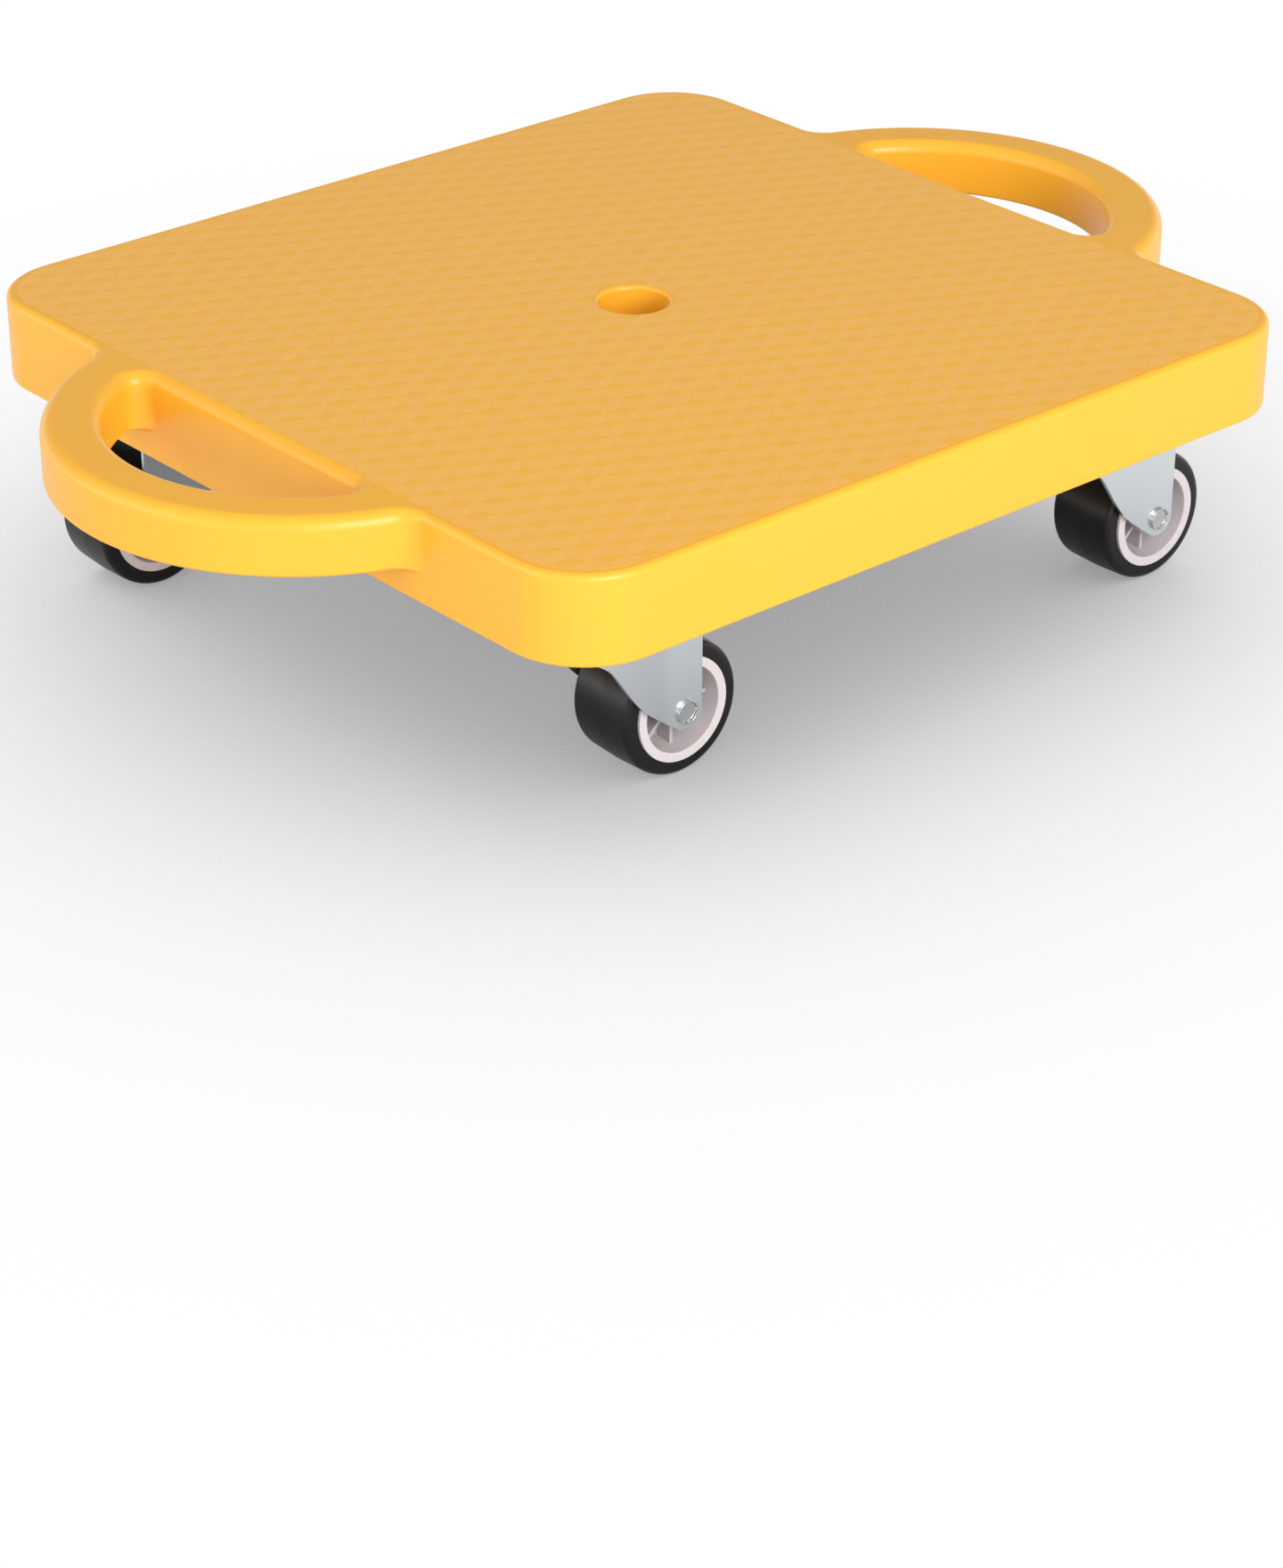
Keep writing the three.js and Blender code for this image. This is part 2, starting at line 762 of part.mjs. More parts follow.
const pieces_of = {
  mount: [
    ['mount_plate', mount_plate(), 'zinc_steel'],
    ['swivel_pin', swivel_pin(), 'zinc_steel'],
    ['swivel_washer', swivel_washer(), 'zinc_steel'],
  ],
  swivel: [
    ['ball_ring', ball_ring(), 'chromed_steel'],
    ['fork', fork(), 'zinc_steel'],
  ],
  axle: [
    ['axle_bolt', axle_bolt(), 'chromed_steel'],
    ['axle_nut', axle_nut(), 'chromed_steel'],
    ['axle_sleeve', axle_sleeve(), 'zinc_steel'],
    ['wheel_core', wheel_core(), 'white_plastic'],
    ['tyre', tyre(), 'black_tyre'],
  ],
};
const screw = plate_screw();

function add_pieces(parent, corner, pieces) {
  for (const [name, geometry, material] of pieces) {
    add_piece(parent, `${corner}_${name}`, geometry, material);
  }
}

for (const [corner, { x, y, turn_degrees }] of Object.entries(corners)) {
  const mount = new THREE.Group();
  mount.position.set(x, y, 0);
  board.add(mount);
  add_pieces(mount, corner, pieces_of.mount);
  screw_places().forEach(([dx, dy], i) => {
    const name = `${corner}_plate_screw_${i + 1}`;
    add_piece(mount, name, screw, 'zinc_steel').position.set(dx, dy, 0);
  });

  const swivel = new THREE.Group();
  swivel.rotation.z = THREE.MathUtils.degToRad(turn_degrees);
  mount.add(swivel);
  add_pieces(swivel, corner, pieces_of.swivel);

  const axle = new THREE.Group();
  axle.position.set(trail, 0, axle_height);
  swivel.add(axle);
  add_pieces(axle, corner, pieces_of.axle);
}

export default board;
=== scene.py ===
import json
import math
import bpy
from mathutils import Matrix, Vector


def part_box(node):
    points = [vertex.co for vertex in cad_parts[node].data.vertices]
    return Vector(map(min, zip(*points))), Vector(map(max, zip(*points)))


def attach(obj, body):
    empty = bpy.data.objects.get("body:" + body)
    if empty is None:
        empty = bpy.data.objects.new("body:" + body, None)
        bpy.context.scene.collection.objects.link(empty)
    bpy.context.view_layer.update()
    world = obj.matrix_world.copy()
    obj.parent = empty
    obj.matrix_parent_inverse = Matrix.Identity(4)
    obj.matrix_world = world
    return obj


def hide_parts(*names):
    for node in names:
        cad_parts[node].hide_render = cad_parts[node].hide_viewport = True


bl_info = {
    "name": "Scooter board",
    "version": (1, 0, 0),
    "blender": (4, 5, 0),
    "location": "3D View > Sidebar > Board",
    "description": "Dresses a scooter board: moulded deck, swivel casters and the studio",
    "category": "Object",
}

from collections import namedtuple

import bmesh
import bpy
from bpy.props import FloatProperty, FloatVectorProperty, IntProperty, PointerProperty
from mathutils import Matrix, Vector

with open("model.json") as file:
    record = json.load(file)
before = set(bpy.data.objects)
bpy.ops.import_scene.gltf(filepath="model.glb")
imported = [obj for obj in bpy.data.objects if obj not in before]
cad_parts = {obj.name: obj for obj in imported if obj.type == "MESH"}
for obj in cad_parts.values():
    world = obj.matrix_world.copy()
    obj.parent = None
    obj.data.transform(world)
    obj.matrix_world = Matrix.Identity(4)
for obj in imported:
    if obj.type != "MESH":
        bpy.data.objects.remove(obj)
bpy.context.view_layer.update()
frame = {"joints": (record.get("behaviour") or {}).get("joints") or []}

MM = 0.001
WELD = 0.002 * MM
UP = Vector((0, 0, 1))
WHITE = (1, 1, 1, 1)
CORNERS = ("front_left", "front_right", "rear_left", "rear_right")
JOINTS = {joint["name"]: joint for joint in frame["joints"]}
DECK_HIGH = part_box("deck")[1]
PLATE_LOW, PLATE_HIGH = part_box("front_left_mount_plate")
FORK_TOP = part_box("front_left_fork")[1].z
SWIVEL = Vector(JOINTS["front_left_swivel"]["pos_m"])
WHEEL = Vector(JOINTS["front_left_roll"]["pos_m"])


def length(name, description, default):
    """A size in metres that a user may set."""
    return FloatProperty(
        name=name, description=description, default=default, min=0, precision=5, unit="LENGTH"
    )


def offset(name, description, default):
    """A place along one axis, on either side of zero, that a user may set."""
    return FloatProperty(
        name=name, description=description, default=default, precision=5, unit="LENGTH"
    )


def angle(name, description, degrees):
    """An angle that a user may set."""
    return FloatProperty(
        name=name, description=description, default=math.radians(degrees), unit="ROTATION"
    )


def count(name, description, default):
    """A number of facets or copies that a user may set."""
    return IntProperty(name=name, description=description, default=default, min=1)


def colour(name, description, red, green, blue):
    """A linear colour that a user may set."""
    return FloatVectorProperty(
        name=name, description=description, default=(red, green, blue), size=3,
        subtype="COLOR", min=0, max=2,
    )


def share(name, description, default):
    """A plain factor that a user may set."""
    return FloatProperty(name=name, description=description, default=default, min=0, precision=3)


# Sizes and colours


class DeckSizes(bpy.types.PropertyGroup):
    length: length("Length", "Deck without its handles", 304.8 * MM)
    width: length("Width", "Deck from side to side", 2 * DECK_HIGH.y)
    top: length("Top", "Height of the tiled face", DECK_HIGH.z)
    thickness: length("Thickness", "Deck from its underside to its top", 29.1 * MM)
    corner: length("Corner", "Radius of a deck corner in plan", 27 * MM)
    top_round: length("Top round", "Round along the top edge of the deck", 2.4 * MM)
    bottom_round: length("Bottom round", "Round along the lower edge of the deck", 1 * MM)
    hole_radius: length("Hole radius", "Radius of the hole in the middle", 11.5 * MM)
    hole_round: length("Hole round", "Round at the mouth of the hole", 1.2 * MM)
    loop_end: length("Loop end", "Farthest point of a handle from the middle", DECK_HIGH.x)
    loop_radius: length("Loop radius", "Outer radius of a handle", 80.8 * MM)
    loop_bar: length("Loop bar", "Width of the handle's bar in plan", 18.7 * MM)
    loop_thickness: length("Loop thickness", "Handle from its underside to its top", 18.7 * MM)
    loop_round: length("Loop round", "Round along the top edges of a handle", 4.4 * MM)
    loop_bottom_round: length("Loop bottom round", "Round under a handle", 1.4 * MM)
    root_radius: length("Root radius", "Fillet where a handle leaves the deck", 9 * MM)
    grip_corner: length("Grip corner", "Radius at the two corners of a hand hole", 5.5 * MM)
    pad_size: length("Pad size", "Side of the raised pad over a caster", 58 * MM)
    pad_corner: length("Pad corner", "Radius of a pad's corner", 10 * MM)
    pad_taper: length("Pad taper", "Growth of a pad towards the deck", 1.2 * MM)
    pad_round: length("Pad round", "Round along a pad's lower edge", 0.8 * MM)
    groove_width: length("Groove width", "Width of a groove in the underside", 14 * MM)
    groove_depth: length("Groove depth", "Depth of a groove", 3.5 * MM)
    groove_draft: length("Groove draft", "Narrowing of a groove towards its floor", 1.5 * MM)
    groove_start: length("Groove start", "Start of a groove from the middle", 29.5 * MM)
    groove_end: length("Groove end", "End of a groove from the middle", 124.25 * MM)


class TileSizes(bpy.types.PropertyGroup):
    pitch_along: length("Pitch along", "Length of one repeat of the tile pattern", 20 * MM)
    pitch_across: length("Pitch across", "Width of one repeat of the tile pattern", 10 * MM)
    start_x: offset("Start along", "Middle of one smooth tile", -0.4 * MM)
    start_y: offset("Start across", "Middle of one smooth tile", 5.4 * MM)
    seam: length("Seam", "Gap between two tiles", 0.02 * MM)
    bevel: length("Bevel", "Slope round a tile", 0.02 * MM)
    relief: length("Relief", "Height of the tiles over the deck skin", 0.06 * MM)
    border: length("Border", "Plain strip round the tiled field", 3.4 * MM)
    hole_border: length("Hole border", "Plain ring round the hole", 1.6 * MM)
    hatch_pitch: length("Hatch pitch", "Distance between two hatch lines", 0.42 * MM)


class PlateSizes(bpy.types.PropertyGroup):
    size: length("Size", "Side of the mounting plate", 50 * MM)
    corner: length("Corner", "Radius of the plate's corners", 6 * MM)
    thickness: length("Thickness", "Sheet of the plate", 2 * MM)
    edge_round: length("Edge round", "Round along the plate's edges", 0.3 * MM)
    dish_radius: length("Dish radius", "Radius of the pressed dish", 14 * MM)
    dish_wall: length("Dish wall", "Sheet of the pressed dish", 1.6 * MM)
    slot_length: length("Slot length", "Length of a screw slot", 8 * MM)
    slot_width: length("Slot width", "Width of a screw slot", 4.8 * MM)
    screw_pitch: length("Screw pitch", "Distance between two screws", 36 * MM)
    screw_length: length("Screw length", "Screw below its head", 13 * MM)
    screw_point: length("Screw point", "Length of the tapered point", 4 * MM)
    shank_radius: length("Shank radius", "Radius over the thread", 2 * MM)
    head_radius: length("Head radius", "Radius of a screw head", 4.2 * MM)
    head_height: length("Head height", "Height of a screw head", 2.3 * MM)
    recess_length: length("Recess length", "Reach of the cross recess", 4.4 * MM)
    recess_width: length("Recess width", "Width of one arm of the recess", 0.9 * MM)
    recess_depth: length("Recess depth", "Depth of the recess", 1.3 * MM)
    pin_radius: length("Pin radius", "Radius of the swivel pin", 3 * MM)
    pin_head_radius: length("Pin head radius", "Radius of the pin's heads", 5 * MM)
    pin_head_height: length("Pin head height", "Height of the lower head", 2 * MM)
    washer_radius: length("Washer radius", "Radius of the swivel washer", 6.8 * MM)
    washer_thickness: length("Washer thickness", "Thickness of the washer", 1.2 * MM)
    clearance: length("Clearance", "Gap between pieces that turn or seat", 0.3 * MM)


class ForkSizes(bpy.types.PropertyGroup):
    sheet: length("Sheet", "Thickness of the pressed sheet", 1.2 * MM)
    trail: length("Trail", "Axle behind the swivel axis", (WHEEL - SWIVEL).xy.length)
    crown_top: length("Crown top", "Height of the flat crown", 53 * MM)
    dome_radius: length("Dome radius", "Radius of the dome on the crown", 12.5 * MM)
    dome_slope: length("Dome slope", "Slope of the dome in plan", 1.5 * MM)
    dome_top: length("Dome top", "Height of the dome", FORK_TOP)
    bend: length("Bend", "Outer radius where a leg folds down", 1.6 * MM)
    back: length("Back", "Back edge of the crown from the swivel axis", 20 * MM)
    back_corner: length("Back corner", "Radius of the crown's back corners", 2 * MM)
    front: length("Front", "Front edge of a leg from the axle", 6 * MM)
    tip_radius: length("Tip radius", "Radius of a leg's tip round the axle", 6.1 * MM)
    beside_wheel: length("Beside wheel", "Half the fork's width beside the rim", 14.55 * MM)
    rim_top: length("Rim top", "Height above the axle where that width holds", 14 * MM)
    crease: length("Crease", "Crease of a leg from the axle", 8 * MM)
    crease_width: length("Crease width", "Width over which the crease bends", 6 * MM)
    taper: angle("Taper", "Lean of a leg towards its tip", 0.2)
    flare: angle("Flare", "Turn of a leg behind its crease", 8)
    edge_round: length("Edge round", "Round along the cut edges", 0.16 * MM)


class WheelSizes(bpy.types.PropertyGroup):
    axle: length("Axle", "Height of the axle", WHEEL.z)
    tyre_radius: length("Tyre radius", "Radius of the tread", WHEEL.z)
    width: length("Width", "Width of the rim", 26 * MM)
    tyre_setback: length("Tyre setback", "Tyre's outer side behind the rim's face", 0.8 * MM)
    crown: length("Crown", "Height of the tread's middle over its edges", 0.4 * MM)
    shoulder: length("Shoulder", "Round between tread and side", 2.4 * MM)
    rim_radius: length("Rim radius", "Outer radius of the core", 17 * MM)
    lip_radius: length("Lip radius", "Inner radius of the rim's face", 14 * MM)
    lip_round: length("Lip round", "Round at the rim's inner edge", 0.5 * MM)
    rim_draft: length("Rim draft", "Narrowing of the rim towards the web", 1.2 * MM)
    web: length("Web", "Thickness of the web", 3 * MM)
    hub_radius: length("Hub radius", "Radius of the hub", 6.4 * MM)
    hub_half: length("Hub half", "Half the length of the hub", 12.1 * MM)
    bore: length("Bore", "Radius of the hub's bore", 4.2 * MM)
    rib_count: count("Ribs", "Ribs from the hub to the rim", 8)
    rib_thickness: length("Rib thickness", "Thickness of a rib", 1.3 * MM)
    rib_recess: length("Rib recess", "Ribs below the rim's face", 5.5 * MM)


class AxleSizes(bpy.types.PropertyGroup):
    seat: length("Seat", "Half the distance between head and nut", 14.5 * MM)
    bolt_radius: length("Bolt radius", "Radius of the bolt", 2.5 * MM)
    head_radius: length("Head radius", "Radius of the bolt's round head", 3.9 * MM)
    head_height: length("Head height", "Height of the bolt head", 1.1 * MM)
    head_rim: length("Head rim", "Width of the rim round the head's dish", 0.6 * MM)
    head_dish: length("Head dish", "Depth of the dish in the head", 0.8 * MM)
    across: length("Across flats", "Width of the nut's hexagon", 8 * MM)
    nut_height: length("Nut height", "Height of the nut's hexagon", 2.8 * MM)
    collar_radius: length("Collar radius", "Radius of the nut's collar", 3.6 * MM)
    collar_height: length("Collar height", "Height of the nut's collar", 0.9 * MM)
    chamfer: length("Chamfer", "Chamfer on the hexagon's corners", 0.5 * MM)
    sleeve_wall: length("Sleeve wall", "Wall of the spacer tube", 1.1 * MM)
    sleeve_half: length("Sleeve half", "Half the length of the spacer tube", 12.3 * MM)
    cage_radius: length("Cage radius", "Radius of the ring of balls", 9.5 * MM)
    cage_width: length("Cage width", "Width of the ball cage", 2.4 * MM)
    ball_count: count("Balls", "Balls in the swivel head", 22)


class Colours(bpy.types.PropertyGroup):
    deck: colour("Deck", "Moulded plastic of the deck", 0.92, 0.455, 0.030)
    deck_shade: colour("Deck shade", "Fainter tone in the plastic", 0.90, 0.44, 0.028)
    zinc: colour("Zinc", "Plated steel sheet", 0.74, 0.77, 0.785)
    zinc_shade: colour("Zinc shade", "Duller plating", 0.70, 0.74, 0.755)
    bright: colour("Bright steel", "Bolt, nut and balls", 0.66, 0.67, 0.67)
    rim: colour("Rim", "White plastic of the rim", 0.56, 0.52, 0.535)
    # The web is the rim's white plastic, painted darker for the shade in the recess
    web: colour("Web", "Plastic inside the rim", 0.46, 0.42, 0.425)
    tyre: colour("Tyre", "Black rubber", 0.006, 0.005, 0.005)
    floor: colour("Floor", "Pale floor", 0.80, 0.80, 0.80)


class StageSettings(bpy.types.PropertyGroup):
    camera_x: offset("Camera X", "Camera from the board's middle, along the handles", -0.79452)
    camera_y: offset("Camera Y", "Camera from the board's middle, across the handles", -0.91328)
    camera_z: offset("Camera Z", "Camera above the floor", 0.58515)
    azimuth: angle("Azimuth", "Turn of the view about the board", -41.160)
    elevation: angle("Elevation", "Rise of the view above the floor", 28.866)
    roll: angle("Roll", "Lean of the camera", 0.126)
    lens: FloatProperty(name="Lens", description="Focal length in millimetres", default=92.78)
    floor_size: length("Floor size", "Side of the floor", 8)
    floor_gap: length("Floor gap", "Floor below the tyres", 0.05 * MM)
    sky_front: share("Sky in front", "Soft light from the camera's side", 0.45)
    sky_behind: share("Sky behind", "Soft light from behind the board", 0.2)
    sky_above: share("Sky above", "Added brightness towards the zenith", 0.3)
    horizon_glow: share("Horizon glow", "Added brightness low on the horizon", 2.0)
    glow_height: angle("Glow height", "How high the glow at the horizon reaches", 13)
    key: share("Key", "Power of the light in front", 38.5)
    fill: share("Fill", "Power of the light on the left", 6.5)
    edge: share("Edge", "Power of the light behind and to the left", 8)
    # The floor's shade is painted: its glow is dimmed where ambient occlusion finds the board near
    shade_reach: length("Shade reach", "How far the floor's soft shade runs", 0.3)
    shade_depth: share("Shade depth", "Brightness of the floor where it is fully shaded", 0.28)
    mirror_depth: share("Mirror depth", "Power of that shade where the board mirrors it", 1.6)


# Meshes

Rim = namedtuple("Rim", "place out top bottom")
# The signs of the four corners of a square, in order round it
QUARTERS = ((-1, -1), (1, -1), (1, 1), (-1, 1))
ROUND_STEPS = 6
HELPER_SIDES = 48


def arc(x, y, radius, start, end, steps, first, last=None):
    """Outline points round an arc: place, direction out of the material, edge rounds there."""
    last = last or first
    side = 1 if end > start else -1
    points = []
    for i in range(steps + 1):
        portion = i / steps
        turn = start + (end - start) * portion
        away = Vector((math.cos(turn), math.sin(turn), 0))
        top, bottom = [a + (b - a) * portion for a, b in zip(first, last)]
        points.append(Rim(Vector((x, y, 0)) + radius * away, side * away, top, bottom))
    return points


def half_turned(outline):
    """The outline turned half round the middle."""
    return [Rim(-p.place, -p.out, p.top, p.bottom) for p in outline]


def hole_of(outline):
    """An outer outline as the outline of a hole."""
    return [Rim(p.place, -p.out, p.top, p.bottom) for p in reversed(outline)]


def rectangle(along, across, radius, steps, rounds=(0, 0), side_places=()):
    """A rounded rectangle, with more points on its two ends at the given distances."""
    x = along / 2 - radius
    y = across / 2 - radius
    half = arc(x, -y, radius, -math.pi / 2, 0, steps, rounds)
    half += [Rim(Vector((along / 2, place, 0)), Vector((1, 0, 0)), *rounds)
             for place in side_places]
    half += arc(x, y, radius, 0, math.pi / 2, steps, rounds)
    return half + half_turned(half)


def ring_outline(radius, steps, rounds):
    """A circle as an outline."""
    return arc(0, 0, radius, 0, 2 * math.pi, steps, rounds)[:-1]


def moved(outline, x, y):
    """The outline at another place."""
    return [Rim(p.place + Vector((x, y, 0)), p.out, p.top, p.bottom) for p in outline]


def edge_column(point, low, high):
    """Places and normals up the edge of a slab, over both of its rounds."""
    column = []
    for i in range(ROUND_STEPS + 1):
        turn = math.pi / 2 * i / ROUND_STEPS
        place = point.place - point.out * point.bottom * (1 - math.sin(turn))
        rise = low + point.bottom * (1 - math.cos(turn))
        column.append((place + UP * rise, point.out * math.sin(turn) - UP * math.cos(turn)))
    for i in range(ROUND_STEPS + 1):
        turn = math.pi / 2 * i / ROUND_STEPS
        place = point.place - point.out * point.top * (1 - math.cos(turn))
        rise = high - point.top * (1 - math.sin(turn))
        column.append((place + UP * rise, point.out * math.cos(turn) + UP * math.sin(turn)))
    return column


def filled(loops):
    """Triangles between flat loops of places, of which the first is the outermost."""
    surface = bmesh.new()
    edges = []
    for loop in loops:
        corners = [surface.verts.new(place) for place in loop]
        edges += [surface.edges.new((corners[i - 1], corners[i])) for i in range(len(corners))]
    bmesh.ops.triangle_fill(surface, use_beauty=True, use_dissolve=False, edges=edges)
    triangles = [[corner.co.copy() for corner in face.verts] for face in surface.faces]
    surface.free()
    return triangles


class Shell:
    """Faces with a normal at each corner, welded where they meet."""

    def __init__(self):
        self.places = []
        self.normals = []
        self.faces = []

    def face(self, corners):
        """Adds one face from its (place, normal) corners."""
        first = len(self.places)
        self.places += [place for place, normal in corners]
        self.normals += [normal for place, normal in corners]
        self.faces.append(list(range(first, len(self.places))))

    def wall(self, columns, closed=True):
        """Adds the faces between neighbouring columns."""
        following = columns[1:] + columns[:1] if closed else columns[1:]
        for here, there in zip(columns, following):
            for k in range(len(here) - 1):
                self.face([here[k], there[k], there[k + 1], here[k + 1]])

    def cap(self, loops, facing):
        """Fills flat loops of places with faces that all look one way."""
        for a, b, c in filled(loops):
            if (b - a).cross(c - a).dot(facing) < 0:
                b, c = c, b
            self.face([(a, facing), (b, facing), (c, facing)])

    def slab(self, outline, low, high):
        """Adds the edge of a slab and gives back its columns."""
        columns = [edge_column(point, low, high) for point in outline]
        self.wall(columns)
        return columns

    def mesh(self, name):
        """The welded mesh, with each corner's own normal."""
        mesh = bpy.data.meshes.new(name)
        mesh.from_pydata(self.places, [], self.faces)
        facing = mesh.attributes.new("facing", "FLOAT_VECTOR", "CORNER")
        facing.data.foreach_set("vector", [v for normal in self.normals for v in normal])
        surface = bmesh.new()
        surface.from_mesh(mesh)
        bmesh.ops.remove_doubles(surface, verts=surface.verts, dist=WELD)
        surface.to_mesh(mesh)
        surface.free()
        normals = [corner.vector.normalized() for corner in mesh.attributes["facing"].data]
        mesh.attributes.remove(mesh.attributes["facing"])
        mesh.shade_smooth()
        mesh.normals_split_custom_set(normals)
        return mesh


def level(columns, row):
    """The places of one row of a wall."""
    return [column[row][0] for column in columns]


def painted(piece, material):
    """Gives a piece one finish."""
    piece.data.materials.clear()
    piece.data.materials.append(material)
    return piece


def add_object(name, mesh, material=None):
    """Puts a mesh in the scene as an object at the origin."""
    piece = bpy.data.objects.new(name, mesh)
    bpy.context.scene.collection.objects.link(piece)
    return painted(piece, material) if material else piece


def remove_object(piece):
    """Takes a helper object and its mesh away."""
    mesh = piece.data
    bpy.data.objects.remove(piece)
    bpy.data.meshes.remove(mesh)


def settled(piece):
    """Turns the object's modifiers into a plain mesh."""
    graph = bpy.context.evaluated_depsgraph_get()
    mesh = bpy.data.meshes.new_from_object(
        piece.evaluated_get(graph), preserve_all_data_layers=True, depsgraph=graph
    )
    before = piece.data
    piece.modifiers.clear()
    piece.data = mesh
    bpy.data.meshes.remove(before)
    return piece


def closed_mesh(name, places, faces):
    """A mesh from places and faces, welded and with its normals outwards."""
    surface = bmesh.new()
    corners = [surface.verts.new(place) for place in places]
    for face in faces:
        kept = [number for i, number in enumerate(face) if number not in face[:i]]
        if len(kept) > 2:
            surface.faces.new([corners[number] for number in kept])
    bmesh.ops.remove_doubles(surface, verts=surface.verts, dist=WELD)
    bmesh.ops.recalc_face_normals(surface, faces=surface.faces)
    mesh = bpy.data.meshes.new(name)
    surface.to_mesh(mesh)
    surface.free()
    return mesh


def filleted(corners, closed=False, steps=4):
    """A section with its corners rounded: each corner is (radius, height, fillet)."""
    points = []
    for i, (across, along, fillet) in enumerate(corners):
        here = Vector((across, along))
        ended = not closed and i in (0, len(corners) - 1)
        if fillet == 0 or ended:
            points.append(here)
            continue
        before = Vector(corners[i - 1][:2]) - here
        after = Vector(corners[(i + 1) % len(corners)][:2]) - here
        half = before.angle(after) / 2
        reach = min(fillet / math.tan(half), before.length / 2, after.length / 2)
        start = here + before.normalized() * reach
        end = here + after.normalized() * reach
        for k in range(steps + 1):
            t = k / steps
            points.append((1 - t) ** 2 * start + 2 * t * (1 - t) * here + t ** 2 * end)
    return points


def turned(name, corners, sides=64, closed=False, steps=4):
    """A body turned about Z from the section's corners."""
    section = filleted(corners, closed, steps)
    places = []
    for i in range(sides):
        turn = 2 * math.pi * i / sides
        places += [Vector((p.x * math.cos(turn), p.x * math.sin(turn), p.y)) for p in section]
    rows = len(section)
    faces = []
    for i in range(sides):
        here = i * rows
        there = (i + 1) % sides * rows
        for k in range(rows if closed else rows - 1):
            after = (k + 1) % rows
            faces.append([here + k, there + k, there + after, here + after])
    return closed_mesh(name, places, faces)


def cylinder(name, radius, low, high, sides=HELPER_SIDES):
    """A plain round helper object about Z."""
    section = [(0, low, 0), (radius, low, 0), (radius, high, 0), (0, high, 0)]
    return add_object(name, turned(name, section, sides))


def tube(name, inner, outer, low, high, edge):
    """A round tube about Z, with its four edges rounded."""
    section = [(inner, low, edge), (outer, low, edge), (outer, high, edge), (inner, high, edge)]
    return turned(name, section, HELPER_SIDES, closed=True, steps=2)


def stack_faces(size, levels=2):
    """Faces of a stack of rings of places with that many places each, closed at both ends."""
    top = size * (levels - 1)
    faces = [list(range(size))[::-1], list(range(top, top + size))]
    for ring in range(0, top, size):
        faces += [[ring + i, ring + (i + 1) % size, ring + (i + 1) % size + size, ring + i + size]
                  for i in range(size)]
    return faces


def prism(name, outline, low, high):
    """A straight block on a convex outline of places."""
    places = [Vector((p.x, p.y, z)) for z in (low, high) for p in outline]
    return closed_mesh(name, places, stack_faces(len(outline)))


def hexagon(name, across, low, high, chamfer):
    """A hexagon about Z whose outer corners are chamfered."""
    radius = across / math.sqrt(3)
    outline = [Vector((radius * math.cos(math.pi * i / 3), radius * math.sin(math.pi * i / 3)))
               for i in range(6)]
    body = add_object(name, prism(name, outline, low, high))
    bound = add_object("hexagon_bound", turned("hexagon_bound", [
        (0, low, 0), (radius - chamfer, low, 0), (radius + WELD, low + chamfer / 2, 0),
        (radius + WELD, high - chamfer / 2, 0), (radius - chamfer, high, 0), (0, high, 0)]))
    return cut(body, [(bound, "INTERSECT")])


def cut(body, steps):
    """Joins, cuts or bounds a body with helper objects, which are used up."""
    for helper, operation in steps:
        for material in body.data.materials[:1]:
            painted(helper, material)
        modifier = body.modifiers.new(operation.lower(), "BOOLEAN")
        modifier.solver = "MANIFOLD"
        modifier.operation = operation
        modifier.object = helper
    settled(body)
    for helper, operation in steps:
        remove_object(helper)
    return body


def shaded(piece, sharp=35):
    """Smooth faces between edges of so many degrees or more, with large faces kept flat."""
    mesh = piece.data
    surface = bmesh.new()
    surface.from_mesh(mesh)
    for face in surface.faces:
        face.smooth = True
    for edge in surface.edges:
        edge.smooth = edge.calc_face_angle(math.pi) < math.radians(sharp)
    surface.to_mesh(mesh)
    surface.free()
    modifier = piece.modifiers.new("even_normals", "WEIGHTED_NORMAL")
    modifier.keep_sharp = True
    return settled(piece)


def about_y(mesh, height=0.0, x=0.0):
    """Lays a body that was made about Z on the axle's line."""
    mesh.transform(Matrix.Translation((x, 0, height)) @ Matrix.Rotation(-math.pi / 2, 4, "X"))
    return mesh


# Geometry Nodes


def new_tree(name, inputs):
    """An empty tree with a geometry input and output and the named inputs."""
    tree = bpy.data.node_groups.new(name, "GeometryNodeTree")
    tree.interface.new_socket("Geometry", in_out="INPUT", socket_type="NodeSocketGeometry")
    for label, kind in inputs:
        tree.interface.new_socket(label, in_out="INPUT", socket_type=kind)
    tree.interface.new_socket("Geometry", in_out="OUTPUT", socket_type="NodeSocketGeometry")
    return tree, tree.nodes.new("NodeGroupInput"), tree.nodes.new("NodeGroupOutput")


def add_node(tree, kind, links=(), **settings):
    """A node with its settings, and links or values for its inputs by name or number."""
    node = tree.nodes.new(kind)
    for key, value in settings.items():
        setattr(node, key, value)
    for socket, value in dict(links).items():
        if isinstance(value, bpy.types.NodeSocket):
            tree.links.new(value, node.inputs[socket])
        else:
            node.inputs[socket].default_value = value
    return node


def finish_tree(tree, source, output, instances):
    """Realizes the copies, gives them their material and puts them out."""
    real = add_node(tree, "GeometryNodeRealizeInstances", {0: instances})
    made = add_node(tree, "GeometryNodeSetMaterial",
                    {"Geometry": real.outputs[0], "Material": source.outputs["Material"]})
    tree.links.new(made.outputs[0], output.inputs[0])


